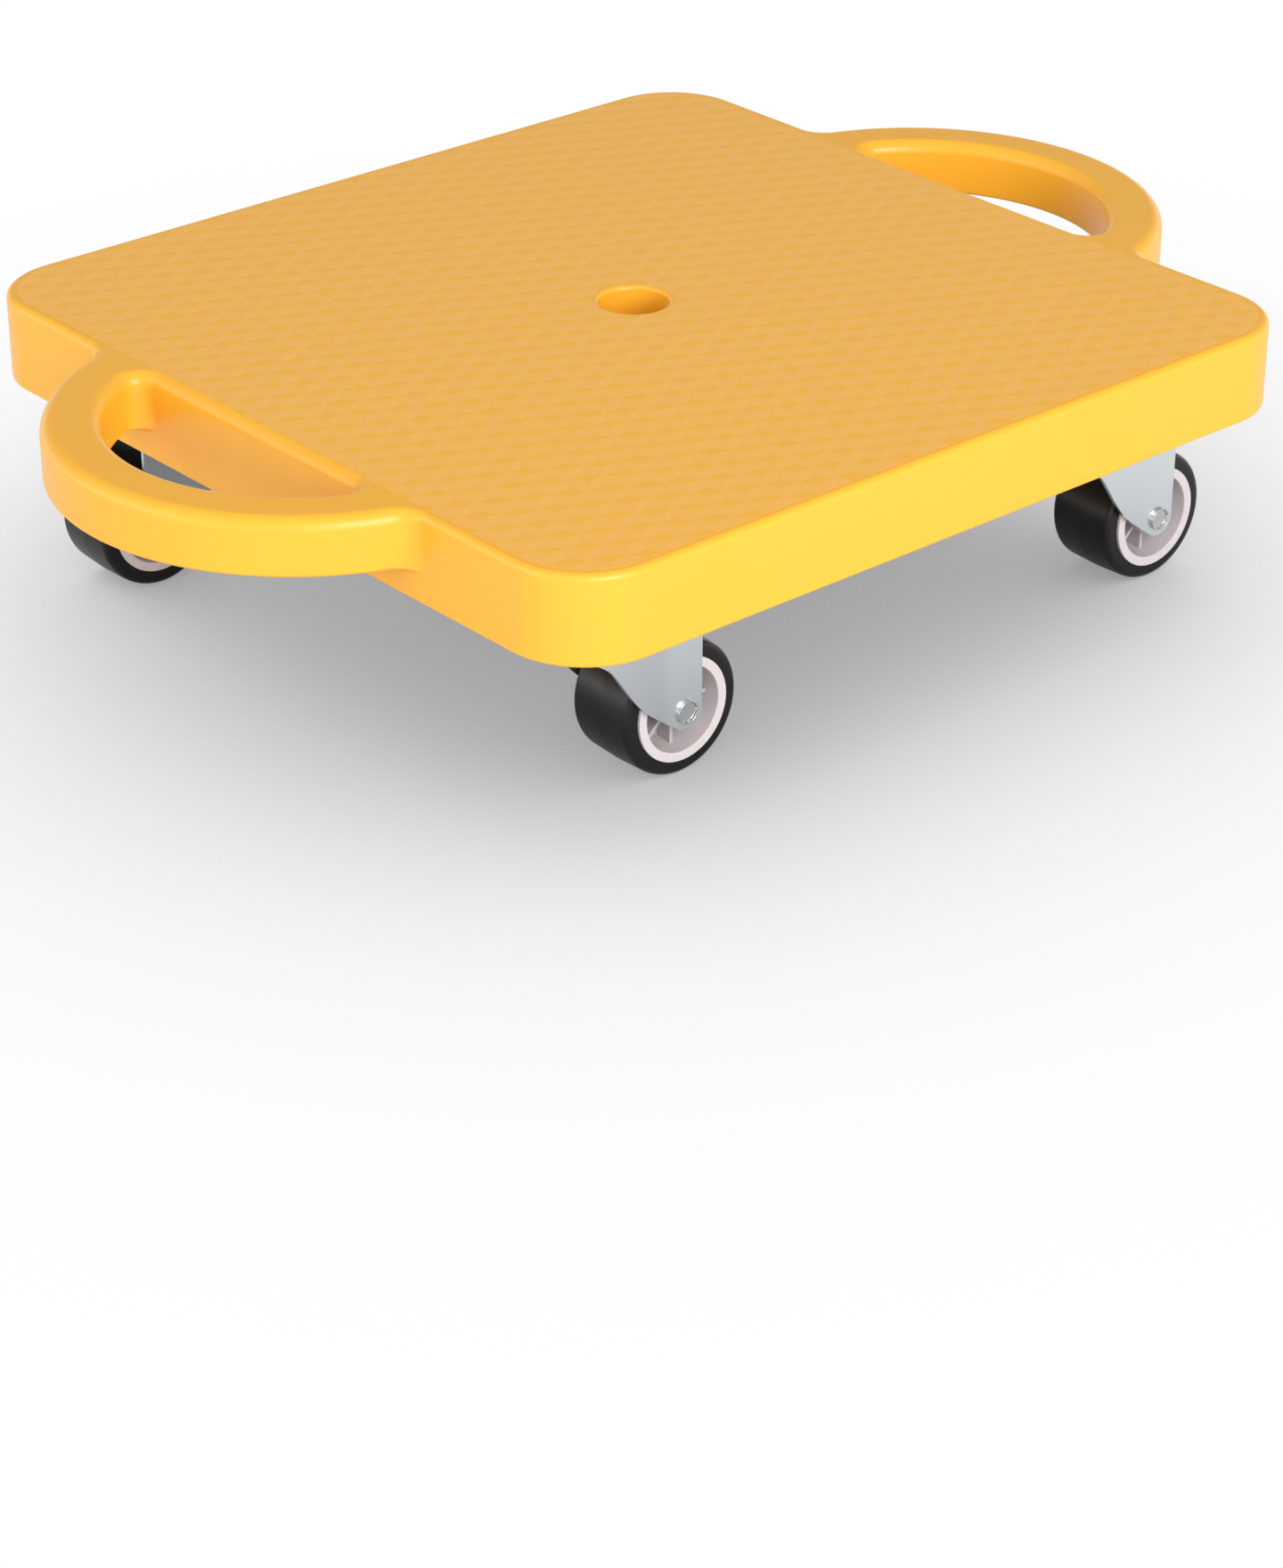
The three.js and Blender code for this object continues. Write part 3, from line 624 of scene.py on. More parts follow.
def places_tree():
    """Copies of a piece on the points of a mesh."""
    tree, source, output = new_tree("pieces_on_places", [
        ("Piece", "NodeSocketObject"), ("Material", "NodeSocketMaterial")])
    piece = add_node(tree, "GeometryNodeObjectInfo", {"Object": source.outputs["Piece"]})
    points = add_node(tree, "GeometryNodeMeshToPoints", {"Mesh": source.outputs["Geometry"]})
    copies = add_node(tree, "GeometryNodeInstanceOnPoints",
                      {"Points": points.outputs[0], "Instance": piece.outputs["Geometry"]})
    finish_tree(tree, source, output, copies.outputs[0])
    return tree


def ring_tree():
    """Copies of a piece round the Z axis, each turned to face outwards."""
    tree, source, output = new_tree("pieces_round_axis", [
        ("Piece", "NodeSocketObject"), ("Count", "NodeSocketInt"),
        ("Radius", "NodeSocketFloat"), ("Material", "NodeSocketMaterial")])
    piece = add_node(tree, "GeometryNodeObjectInfo", {"Object": source.outputs["Piece"]})
    circle = add_node(tree, "GeometryNodeMeshCircle",
                      {"Vertices": source.outputs["Count"], "Radius": source.outputs["Radius"]})
    number = add_node(tree, "GeometryNodeInputIndex")
    portion = add_node(tree, "ShaderNodeMath",
                       {0: number.outputs[0], 1: source.outputs["Count"]}, operation="DIVIDE")
    turn = add_node(tree, "ShaderNodeMath", {0: portion.outputs[0], 1: 2 * math.pi},
                    operation="MULTIPLY")
    about = add_node(tree, "ShaderNodeCombineXYZ", {"Z": turn.outputs[0]})
    rotation = add_node(tree, "FunctionNodeEulerToRotation", {0: about.outputs[0]})
    copies = add_node(tree, "GeometryNodeInstanceOnPoints", {
        "Points": circle.outputs[0], "Instance": piece.outputs["Geometry"],
        "Rotation": rotation.outputs[0]})
    finish_tree(tree, source, output, copies.outputs[0])
    return tree


def field_tree():
    """A rectangular field of copies of one block, large enough to cover the given size."""
    tree, source, output = new_tree("field_of_tiles", [
        ("Block", "NodeSocketObject"), ("Length", "NodeSocketFloat"),
        ("Width", "NodeSocketFloat"), ("Pitch Along", "NodeSocketFloat"),
        ("Pitch Across", "NodeSocketFloat"), ("Start", "NodeSocketVector"),
        ("Material", "NodeSocketMaterial")])
    sides = []
    for size, pitch in (("Length", "Pitch Along"), ("Width", "Pitch Across")):
        ratio = add_node(tree, "ShaderNodeMath",
                         {0: source.outputs[size], 1: source.outputs[pitch]}, operation="DIVIDE")
        half = add_node(tree, "ShaderNodeMath", {0: ratio.outputs[0], 1: 2.0}, operation="DIVIDE")
        steps = add_node(tree, "ShaderNodeMath", {0: half.outputs[0]}, operation="CEIL")
        total = add_node(tree, "ShaderNodeMath", {0: steps.outputs[0], 1: 2.0, 2: 1.0},
                         operation="MULTIPLY_ADD")
        spaces = add_node(tree, "ShaderNodeMath", {0: total.outputs[0], 1: 1.0},
                          operation="SUBTRACT")
        span = add_node(tree, "ShaderNodeMath",
                        {0: spaces.outputs[0], 1: source.outputs[pitch]}, operation="MULTIPLY")
        sides.append((total.outputs[0], span.outputs[0]))
    grid = add_node(tree, "GeometryNodeMeshGrid", {
        "Vertices X": sides[0][0], "Size X": sides[0][1],
        "Vertices Y": sides[1][0], "Size Y": sides[1][1]})
    placed = add_node(tree, "GeometryNodeSetPosition",
                      {"Geometry": grid.outputs[0], "Offset": source.outputs["Start"]})
    block = add_node(tree, "GeometryNodeObjectInfo", {"Object": source.outputs["Block"]})
    copies = add_node(tree, "GeometryNodeInstanceOnPoints",
                      {"Points": placed.outputs[0], "Instance": block.outputs["Geometry"]})
    finish_tree(tree, source, output, copies.outputs[0])
    return tree


def grown(piece, tree, values):
    """Runs a tree on an object with values for its named inputs, and keeps the mesh.

    The mesh keeps one material slot, for the finish that the tree was given.
    """
    sockets = {item.name: item.identifier for item in tree.interface.items_tree
               if item.in_out == "INPUT"}
    modifier = piece.modifiers.new(tree.name, "NODES")
    modifier.node_group = tree
    for label, value in values.items():
        modifier[sockets[label]] = value
    return painted(settled(piece), values["Material"])


# Materials


def surface_group():
    """Mottle and grain that every material here uses, with their own scales."""
    tree = bpy.data.node_groups.new("surface_mottle", "ShaderNodeTree")
    for label, kind in (("Vector", "NodeSocketVector"), ("Mottle Scale", "NodeSocketFloat"),
                        ("Grain Scale", "NodeSocketFloat")):
        tree.interface.new_socket(label, in_out="INPUT", socket_type=kind)
    for label in ("Mottle", "Grain"):
        tree.interface.new_socket(label, in_out="OUTPUT", socket_type="NodeSocketFloat")
    source = tree.nodes.new("NodeGroupInput")
    output = tree.nodes.new("NodeGroupOutput")
    for label, detail in (("Mottle", 3.0), ("Grain", 1.0)):
        noise = add_node(tree, "ShaderNodeTexNoise", {
            "Vector": source.outputs["Vector"], "Scale": source.outputs[f"{label} Scale"],
            "Detail": detail, "Roughness": NOISE_ROUGHNESS})
        tree.links.new(noise.outputs["Fac"], output.inputs[label])
    return tree


def new_material(name, base, shade, roughness, metallic=0.0, mottle=40, grain=1500,
                 grain_strength=0.05, grain_depth=0.02 * MM, **shader_values):
    """A finish that mottles between two tones and two roughnesses, over a fine grain."""
    material = bpy.data.materials.new(name)
    material.use_nodes = True
    tree = material.node_tree
    shader = tree.nodes["Principled BSDF"]
    shader.inputs["Metallic"].default_value = metallic
    for label, value in shader_values.items():
        shader.inputs[label.replace("_", " ")].default_value = value
    place = add_node(tree, "ShaderNodeTexCoord")
    group = bpy.data.node_groups.get("surface_mottle") or surface_group()
    surface = add_node(tree, "ShaderNodeGroup", node_tree=group)
    tree.links.new(place.outputs["Object"], surface.inputs["Vector"])
    surface.inputs["Mottle Scale"].default_value = mottle
    surface.inputs["Grain Scale"].default_value = grain
    tone = add_node(tree, "ShaderNodeMix", {"Factor": surface.outputs["Mottle"]},
                    data_type="RGBA")
    low, high = roughness
    rough = add_node(tree, "ShaderNodeMapRange", {
        "Value": surface.outputs["Mottle"], "From Min": MOTTLE_LOW, "From Max": MOTTLE_HIGH,
        "To Min": low, "To Max": high})
    bump = add_node(tree, "ShaderNodeBump", {
        "Height": surface.outputs["Grain"], "Strength": grain_strength, "Distance": grain_depth})
    bump.name = "grain"
    colour_out = [socket for socket in tone.outputs if socket.type == "RGBA"][0]
    for label, value in (("A", base), ("B", shade)):
        pick = [item for item in tone.inputs if item.name == label and item.type == "RGBA"][0]
        pick.default_value = (*value, 1)
    tree.links.new(colour_out, shader.inputs["Base Color"])
    tree.links.new(rough.outputs[0], shader.inputs["Roughness"])
    tree.links.new(bump.outputs[0], shader.inputs["Normal"])
    return material


MOTTLE_LOW = 0.3
MOTTLE_HIGH = 0.7
NOISE_ROUGHNESS = 0.55
# What a tile's faces carry: which way it is hatched, and its level of painted sheen
SMOOTH, FIRST_HATCH, SECOND_HATCH = 0.0, 1.0, 2.0
DEEP, EVEN, PALE = -1.0, 0.0, 1.0
# How much each kind of tile lifts the plastic's red, green and blue: painted sheen, mostly in blue,
# that stands in for the haze of reflected light
SMOOTH_TILE_SHEEN = (1.01, 1.025, 1.3)
HATCHED_TILE_SHEEN = (1.036, 1.077, 2.5)
PALE_TILE_SHEEN = (1.0, 1.01, 1.1)
HATCH_TURNS = (39, 53)
HATCH_DEPTH = 0.03 * MM
HATCH_STRENGTH = 0.5


def stripes(tree, place, pitch, degrees):
    """A value that rises and falls across parallel lines in plan."""
    across = math.radians(degrees + 90)
    dot = add_node(tree, "ShaderNodeVectorMath", {
        0: place, 1: (2 * math.pi / pitch * math.cos(across),
                      2 * math.pi / pitch * math.sin(across), 0)}, operation="DOT_PRODUCT")
    return add_node(tree, "ShaderNodeMath", {0: dot.outputs["Value"]}, operation="SINE").outputs[0]


def hatch_tiles(material, pitch):
    """Adds the tiles' fine hatching and their painted sheen, which differs by kind of tile, to the
    deck plastic.
    """
    tree = material.node_tree
    shader = tree.nodes["Principled BSDF"]
    place = add_node(tree, "ShaderNodeTexCoord").outputs["Object"]
    kind = add_node(tree, "ShaderNodeAttribute", attribute_name="tile_hatch").outputs["Fac"]
    tone = add_node(tree, "ShaderNodeAttribute", attribute_name="tile_tone").outputs["Fac"]
    second = add_node(tree, "ShaderNodeMath", {0: kind, 1: (FIRST_HATCH + SECOND_HATCH) / 2},
                      operation="GREATER_THAN")
    first_lines, second_lines = [stripes(tree, place, pitch, degrees) for degrees in HATCH_TURNS]
    lines = add_node(tree, "ShaderNodeMix",
                     {"Factor": second.outputs[0], "A": first_lines, "B": second_lines})
    hatched = add_node(tree, "ShaderNodeMath", {0: kind, 1: (SMOOTH + FIRST_HATCH) / 2},
                       operation="GREATER_THAN")
    height = add_node(tree, "ShaderNodeMath", {0: lines.outputs[0], 1: hatched.outputs[0]},
                      operation="MULTIPLY")
    bump = add_node(tree, "ShaderNodeBump", {
        "Height": height.outputs[0], "Strength": HATCH_STRENGTH, "Distance": HATCH_DEPTH,
        "Normal": tree.nodes["grain"].outputs[0]})
    tree.links.new(bump.outputs[0], shader.inputs["Normal"])
    # Painted sheen: each kind of tile lifts the base colour by its own factors
    deep = add_node(tree, "ShaderNodeMath", {0: tone, 1: (DEEP + EVEN) / 2},
                    operation="LESS_THAN")
    pale = add_node(tree, "ShaderNodeMath", {0: tone, 1: (EVEN + PALE) / 2},
                    operation="GREATER_THAN")
    plain = shader.inputs["Base Color"].links[0].from_socket
    for share_of, factors in ((deep, SMOOTH_TILE_SHEEN), (hatched, HATCHED_TILE_SHEEN), (pale, PALE_TILE_SHEEN)):
        factor = add_node(tree, "ShaderNodeVectorMath", {
            0: share_of.outputs[0], 1: [value - 1 for value in factors], 2: (1, 1, 1)},
            operation="MULTIPLY_ADD")
        tinted = add_node(tree, "ShaderNodeVectorMath", {0: plain, 1: factor.outputs[0]},
                          operation="MULTIPLY")
        plain = tinted.outputs[0]
    tree.links.new(plain, shader.inputs["Base Color"])


# Two tones, the roughness between them, and what else each finish needs
FINISHES = {
    "deck_yellow": ("deck", "deck_shade", (0.33, 0.38),
                    {"mottle": 12, "grain": 2500, "grain_strength": 0.08}),
    "zinc_sheet": ("zinc", "zinc_shade", (0.28, 0.34),
                   {"metallic": 1.0, "mottle": 90, "grain": 2500, "grain_strength": 0.03}),
    "bright_steel": ("bright", "bright", (0.10, 0.16),
                     {"metallic": 1.0, "mottle": 500, "grain": 4000, "grain_strength": 0.02}),
    "rim_white": ("rim", "rim", (0.42, 0.5), {"mottle": 60}),
    # The web's finish: the rim's white plastic with painted shade for the recess
    "web_grey": ("web", "web", (0.42, 0.5), {"mottle": 60}),
    "tyre_rubber": ("tyre", "tyre", (0.27, 0.34), {
        "mottle": 80, "grain": 2000, "grain_strength": 0.1, "Specular_IOR_Level": 0.32}),
}


def finish_named(name):
    """The material of that name, made when it is first asked for."""
    found = bpy.data.materials.get(name)
    if found:
        return found
    colours = bpy.context.scene.board_colours
    base, shade, roughness, values = FINISHES[name]
    material = new_material(name, getattr(colours, base), getattr(colours, shade), roughness,
                            **values)
    if name == "deck_yellow":
        hatch_tiles(material, bpy.context.scene.board_tiles.hatch_pitch)
    return material


# Placing


def caster_place(corner):
    """Where a caster stands: from its swivel axis on the floor, with +X towards its wheel."""
    swivel = Vector(JOINTS[f"{corner}_swivel"]["pos_m"])
    wheel = Vector(JOINTS[f"{corner}_roll"]["pos_m"])
    turn = math.atan2(wheel.y - swivel.y, wheel.x - swivel.x)
    return Matrix.Translation((swivel.x, swivel.y, 0)) @ Matrix.Rotation(turn, 4, "Z")


def plate_place(corner):
    """Where a mounting plate sits over the floor, square to the deck."""
    swivel = Vector(JOINTS[f"{corner}_swivel"]["pos_m"])
    return Matrix.Translation((swivel.x, swivel.y, 0))


def put(piece, body, slot_name, *nodes):
    """Hands a finished piece to its body and hides the CAD nodes that it stands for; the slot name
    is not used.
    """
    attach(piece, body)
    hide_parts(*nodes)


def copies_on(pattern, name, body_part, slot_name, node, place_of):
    """One copy of a pattern piece for each corner, and the pattern taken away."""
    for corner in CORNERS:
        mesh = pattern.data.copy()
        mesh.transform(place_of(corner))
        piece = add_object(f"{corner}_{name}", mesh)
        body = body_part if body_part == "board" else f"{corner}_{body_part}"
        put(piece, body, slot_name, f"{corner}_{node}")
    remove_object(pattern)


# Deck

Loop = namedtuple("Loop", "middle inner root corner")
CORNER_STEPS = 24
ROOT_STEPS = 12
LOOP_STEPS = 96
GRIP_STEPS = 80
GRIP_CORNER_STEPS = 16
PAD_STEPS = 8
GROOVE_STEPS = 10
HOLE_SIDES = 64


def loop_places(deck):
    """A handle's arcs: their middle, inner radius, and the centres of root and grip corner."""
    middle = deck.loop_end - deck.loop_radius
    root_x = deck.length / 2 + deck.root_radius
    root_y = math.sqrt((deck.loop_radius + deck.root_radius) ** 2 - (root_x - middle) ** 2)
    inner = deck.loop_radius - deck.loop_bar
    corner_x = deck.length / 2 + deck.grip_corner
    corner_y = math.sqrt((inner - deck.grip_corner) ** 2 - (corner_x - middle) ** 2)
    return Loop(middle, inner, Vector((root_x, root_y)), Vector((corner_x, corner_y)))


def board_outline(deck):
    """The outline in plan of deck and both handles, with its edge rounds."""
    loop = loop_places(deck)
    root = loop.root
    meet = math.atan2(root.y, root.x - loop.middle)
    side = (deck.top_round, 0)
    bar = (deck.loop_round, deck.loop_bottom_round)
    x = deck.length / 2 - deck.corner
    y = deck.width / 2 - deck.corner
    half = arc(x, -y, deck.corner, -math.pi / 2, 0, CORNER_STEPS, side)
    half += arc(root.x, -root.y, deck.root_radius, math.pi, math.pi - meet, ROOT_STEPS, side, bar)
    half += arc(loop.middle, 0, deck.loop_radius, -meet, meet, LOOP_STEPS, bar)[1:-1]
    half += arc(root.x, root.y, deck.root_radius, math.pi + meet, math.pi, ROOT_STEPS, bar, side)
    half += arc(x, y, deck.corner, 0, math.pi / 2, CORNER_STEPS, side)
    return half + half_turned(half)


def grip_outline(deck):
    """The outline of one hand hole, from its straight wall round the bar and back."""
    loop = loop_places(deck)
    x, y = loop.corner
    radius = deck.grip_corner
    meet = math.atan2(y, x - loop.middle)
    bar = (deck.loop_round, deck.loop_bottom_round)
    wall = (deck.loop_round, 0)
    outline = arc(x, -y, radius, -math.pi, -meet, GRIP_CORNER_STEPS, wall, bar)
    outline += arc(loop.middle, 0, loop.inner, -meet, meet, GRIP_STEPS, bar)[1:-1]
    outline += arc(x, y, radius, meet, math.pi, GRIP_CORNER_STEPS, bar, wall)
    return hole_of(outline)


def pad_columns(outline, low, high, taper, edge):
    """The side of a pad under the deck, growing by its taper towards the deck."""
    columns = []
    for point in outline:
        foot = Rim(point.place - point.out * taper, point.out, 0, edge)
        column = edge_column(foot, low, low + 2 * edge)[:ROUND_STEPS + 1]
        column.append((point.place + UP * high, point.out))
        columns.append(column)
    return columns


def groove_columns(outline, low, depth, draft):
    """The side of a groove, narrowing towards its floor."""
    return [[(p.place + UP * low, p.out), (p.place + p.out * draft + UP * (low + depth), p.out)]
            for p in hole_of(outline)]


def add_underside(shell, deck, outer, hole, low):
    """Closes the underside round the pads and the grooves."""
    loops = [level(outer, 0), level(hole, 0)]
    pad_side = deck.pad_size + 2 * deck.pad_taper
    pad = rectangle(pad_side, pad_side, deck.pad_corner, PAD_STEPS)
    for corner in CORNERS:
        x, y = JOINTS[f"{corner}_swivel"]["pos_m"][:2]
        columns = pad_columns(moved(pad, x, y), PLATE_HIGH.z, low, deck.pad_taper, deck.pad_round)
        shell.wall(columns)
        shell.cap([level(columns, 0)], -UP)
        loops.append(level(columns, -1))
    groove = rectangle(deck.groove_end - deck.groove_start, deck.groove_width,
                       deck.groove_width / 2 - WELD, GROOVE_STEPS)
    groove = moved(groove, (deck.groove_start + deck.groove_end) / 2, 0)
    for quarter in range(4):
        turn = Matrix.Rotation(quarter * math.pi / 2, 3, "Z")
        outline = [Rim(turn @ p.place, turn @ p.out, p.top, p.bottom) for p in groove]
        columns = groove_columns(outline, low, deck.groove_depth, deck.groove_draft)
        shell.wall(columns)
        shell.cap([level(columns, 1)], -UP)
        loops.append(level(columns, 0))
    shell.cap(loops, -UP)


def add_loop_underside(shell, deck, board, grip, side):
    """Closes the underside of one handle, from the deck side round the bar."""
    loop = loop_places(deck)
    way = Matrix.Diagonal((side, side, 1))
    start = deck.length / 2 - WELD
    reach = loop.root.y
    outer = [way @ place for place in level(board, 0)]
    outer = [place for place in outer if place.x > start and abs(place.y) < reach + WELD]
    outer.sort(key=lambda place: math.atan2(place.y, place.x - deck.length / 2 + reach))
    bar = [way @ place for place in level(grip, 0)]
    bar.sort(key=lambda place: -math.atan2(place.y, place.x - loop.middle))
    shell.cap([[way @ place for place in outer + bar]], -UP)


def deck_shell(deck, relief):
    """The whole moulded deck with its handles, hole, pads and grooves."""
    loop = loop_places(deck)
    top = deck.top - relief
    low = deck.top - deck.thickness
    seam = deck.top - deck.loop_thickness
    shell = Shell()
    board = shell.slab(board_outline(deck), seam, top)
    outline = grip_outline(deck)
    grips = [shell.slab(outline, seam, top), shell.slab(half_turned(outline), seam, top)]
    mouth = ring_outline(deck.hole_radius, HOLE_SIDES, (deck.hole_round, deck.bottom_round))
    hole = shell.slab(hole_of(mouth), low, top)
    sides = [-loop.root.y, -loop.corner.y, loop.corner.y, loop.root.y]
    lower = shell.slab(rectangle(deck.length, deck.width, deck.corner, CORNER_STEPS,
                                 (0, deck.bottom_round), sides), low, seam)
    shell.cap([level(board, -1), *[level(grip, -1) for grip in grips], level(hole, -1)], UP)
    for grip, side in zip(grips, (1, -1)):
        add_loop_underside(shell, deck, board, grip, side)
    add_underside(shell, deck, lower, hole, low)
    return shell.mesh("deck_skin")


class BOARD_OT_deck(bpy.types.Operator):
    """Moulds the deck with its two loop handles"""

    bl_idname = "board.deck"
    bl_label = "Deck"

    def execute(self, context):
        mesh = deck_shell(context.scene.board_deck, context.scene.board_tiles.relief)
        piece = add_object("deck_skin", mesh, finish_named("deck_yellow"))
        put(piece, "board", "deck_plastic", "deck")
        return {"FINISHED"}


# Tiles

FEWEST_TILE_FACES = 1000


def rhomb_plate(middle, first, second, low, high, seam, bevel):
    """Places and faces of one tile: a thin plate with sloped sides, on two edge directions."""
    acute = abs(first.normalized().cross(second.normalized()))
    made = []
    levels = ((low, seam / 2), (high - bevel, seam / 2), (high, seam / 2 + bevel))
    for height, inset in levels:
        keep_first = 1 - 2 * inset / (acute * first.length)
        keep_second = 1 - 2 * inset / (acute * second.length)
        for a, b in QUARTERS:
            place = middle + first * (a * keep_first / 2) + second * (b * keep_second / 2)
            made.append(Vector((place.x, place.y, height)))
    return made, stack_faces(len(QUARTERS), len(levels))


def tile_block(tiles, top):
    """One repeat of the pattern: two groups of three tiles that look like stacked cubes."""
    along = tiles.pitch_along / 3
    rise = tiles.pitch_across / 2
    level_edge = Vector((along, 0))
    right_edge = Vector((along / 2, rise))
    left_edge = Vector((-along / 2, rise))
    # Each kind: middle, two edges, hatch, and its level of painted sheen
    kinds = (
        (Vector((0, 0)), level_edge, left_edge, SMOOTH, DEEP),
        (Vector((0, rise)), level_edge, right_edge, FIRST_HATCH, PALE),
        (Vector((tiles.pitch_along / 4, rise / 2)), right_edge, left_edge, SECOND_HATCH, EVEN),
    )
    places, faces, hatch, tone = [], [], [], []
    for shift in (Vector((0, 0)), Vector((tiles.pitch_along / 2, rise))):
        for middle, first, second, kind, brightness in kinds:
            made, sides = rhomb_plate(middle + shift, first, second, top - 3 * tiles.relief, top,
                                      tiles.seam, tiles.bevel)
            faces += [[number + len(places) for number in side] for side in sides]
            places += made
            hatch += [kind] * len(sides)
            tone += [brightness] * len(sides)
    mesh = bpy.data.meshes.new("tile_block")
    mesh.from_pydata(places, [], faces)
    # Each face carries its hatch and its level of painted sheen
    for label, values in (("tile_hatch", hatch), ("tile_tone", tone)):
        mesh.attributes.new(label, "FLOAT", "FACE").data.foreach_set("value", values)
    return mesh


def tile_field(deck, tiles, material):
    """The tiles, grown over the deck and cut at its border and round the hole."""
    block = add_object("tile_block", tile_block(tiles, deck.top))
    field = add_object("deck_tiles", bpy.data.meshes.new("deck_tiles"))
    grown(field, field_tree(), {
        "Block": block, "Length": deck.length, "Width": deck.width,
        "Pitch Along": tiles.pitch_along, "Pitch Across": tiles.pitch_across,
        "Start": (tiles.start_x, tiles.start_y, 0), "Material": material})
    remove_object(block)
    inset = 2 * tiles.border
    outline = rectangle(deck.length - inset, deck.width - inset, deck.corner - tiles.border,
                        CORNER_STEPS)
    overrun = 6 * tiles.relief
    low = deck.top - overrun
    high = deck.top + overrun
    border = add_object("border", prism("border", [p.place for p in outline], low, high))
    hole = cylinder("mouth", deck.hole_radius + tiles.hole_border, low, high, HOLE_SIDES)
    return cut(field, [(border, "INTERSECT"), (hole, "DIFFERENCE")])


class BOARD_OT_tiles(bpy.types.Operator):
    """Lays the low tiles that roughen the deck's top"""

    bl_idname = "board.tiles"
    bl_label = "Tiles"

    def execute(self, context):
        scene = context.scene
        piece = tile_field(scene.board_deck, scene.board_tiles, finish_named("deck_yellow"))
        if len(piece.data.polygons) < FEWEST_TILE_FACES:
            raise RuntimeError("the tiles are missing")
        put(piece, "board", "deck_plastic", "deck")
        return {"FINISHED"}


# Mounting plates, screws and swivel pins

SLOT_STEPS = 12
PLATE_CORNER_STEPS = 10
BORE_SIDES = 32
SCREW_SIDES = 20
SCREW_STEPS = 5
BALL_DIVISIONS = 2
# Shares of the shank's radius, the screw head's radius, the arm's reach and the pin head's radius
THREAD_ROOT_SHARE = 0.82
THREAD_PITCH_SHARE = 0.7
SCREW_FACE_SHARE = 0.8
ARM_END_SHARE = 0.45
SPREAD_END_SHARE = 0.8


def slot_cutter(plate, x, y):
    """A cutter for one screw slot, lying along the plate's diagonal."""
    radius = plate.slot_width / 2
    half = plate.slot_length / 2 - radius
    outline = []
    for side, start in ((1, -math.pi / 2), (-1, math.pi / 2)):
        for i in range(SLOT_STEPS + 1):
            turn = start + math.pi * i / SLOT_STEPS
            outline.append(Vector((side * half + radius * math.cos(turn), radius * math.sin(turn))))
    mesh = prism("slot", outline, PLATE_LOW.z, PLATE_HIGH.z + plate.thickness)
    mesh.transform(Matrix.Translation((x, y, 0)) @ Matrix.Rotation(math.atan2(y, x), 4, "Z"))
    return add_object("slot", mesh)


def screw_spots(plate):
    """Where the four screws of a plate stand."""
    reach = plate.screw_pitch / 2
    return [(x * reach, y * reach) for x, y in QUARTERS]


def pressed_plate(plate):
    """The mounting plate with its dish and its four slots."""
    low = PLATE_HIGH.z - plate.thickness
    high = PLATE_HIGH.z
    rounds = (plate.edge_round, plate.edge_round)
    outline = rectangle(plate.size, plate.size, plate.corner, PLATE_CORNER_STEPS, rounds)
    shell = Shell()
    columns = shell.slab(outline, low, high)
    shell.cap([level(columns, 0)], -UP)
    shell.cap([level(columns, -1)], UP)
    piece = add_object("pressed_plate", shell.mesh("pressed_plate"))
    depth = low - PLATE_LOW.z
    outer = plate.dish_radius
    inner = outer - plate.dish_wall / 2
    floor = PLATE_LOW.z + plate.dish_wall
    dish = turned("dish", [(0, PLATE_LOW.z, 0), (outer - depth, PLATE_LOW.z, depth / 3),
                           (outer, low + depth / 4, 0), (0, low + depth / 4, 0)])
    hollow = turned("hollow", [(0, floor, 0), (inner - depth, floor, depth / 3),
                               (inner, high, 0), (inner, high + depth, 0), (0, high + depth, 0)])
    bore = cylinder("bore", plate.pin_radius + plate.clearance, PLATE_LOW.z - depth, high,
                    BORE_SIDES)
    steps = [(add_object("dish", dish), "UNION"), (add_object("hollow", hollow), "DIFFERENCE"),
             (bore, "DIFFERENCE")]
    steps += [(slot_cutter(plate, x, y), "DIFFERENCE") for x, y in screw_spots(plate)]
    return shaded(painted(cut(piece, steps), finish_named("zinc_sheet")))


class BOARD_OT_plates(bpy.types.Operator):
    """Presses the four mounting plates"""

    bl_idname = "board.plates"
    bl_label = "Mounting plates"

    def execute(self, context):
        copies_on(pressed_plate(context.scene.board_plate), "pressed_plate", "board",
                  "zinc_steel", "mount_plate", plate_place)
        return {"FINISHED"}


def cross_cutter(plate, low):
    """Cutters for the cross recess in a screw head."""
    arms = []
    reach = plate.recess_length / 2
    wide = plate.recess_width / 2
    for turn in (0, math.pi / 2):
        places = []
        for z, keep in ((low - plate.recess_depth, 1), (low + plate.recess_depth, ARM_END_SHARE)):
            places += [Vector((x * reach * keep, y * wide, z)) for x, y in QUARTERS]
        mesh = closed_mesh("cross_arm", places, stack_faces(len(QUARTERS)))
        mesh.transform(Matrix.Rotation(turn, 4, "Z"))
        arms.append(add_object("cross_arm", mesh))
    return arms


def pan_screw(plate):
    """One screw under the plate: domed head with a cross recess, threaded shank and point."""
    seat = PLATE_HIGH.z - plate.thickness
    low = seat - plate.head_height
    tip = seat + plate.screw_length
    corners = [(0, low, 0), (plate.head_radius * SCREW_FACE_SHARE, low, plate.head_radius),
               (plate.head_radius, seat - plate.head_height / 3, plate.head_radius / 3),
               (plate.head_radius, seat, 0)]
    root = plate.shank_radius * THREAD_ROOT_SHARE
    pitch = plate.shank_radius * THREAD_PITCH_SHARE
    height = seat
    while height + 2 * pitch < tip - plate.screw_point:
        corners += [(root, height, 0), (plate.shank_radius, height + pitch / 2, 0)]
        height += pitch
    corners += [(root, tip - plate.screw_point, 0), (0, tip, 0)]
    piece = add_object("pan_screw", turned("pan_screw", corners, SCREW_SIDES, steps=SCREW_STEPS))
    cut(piece, [(arm, "DIFFERENCE") for arm in cross_cutter(plate, low)])
    return shaded(piece)


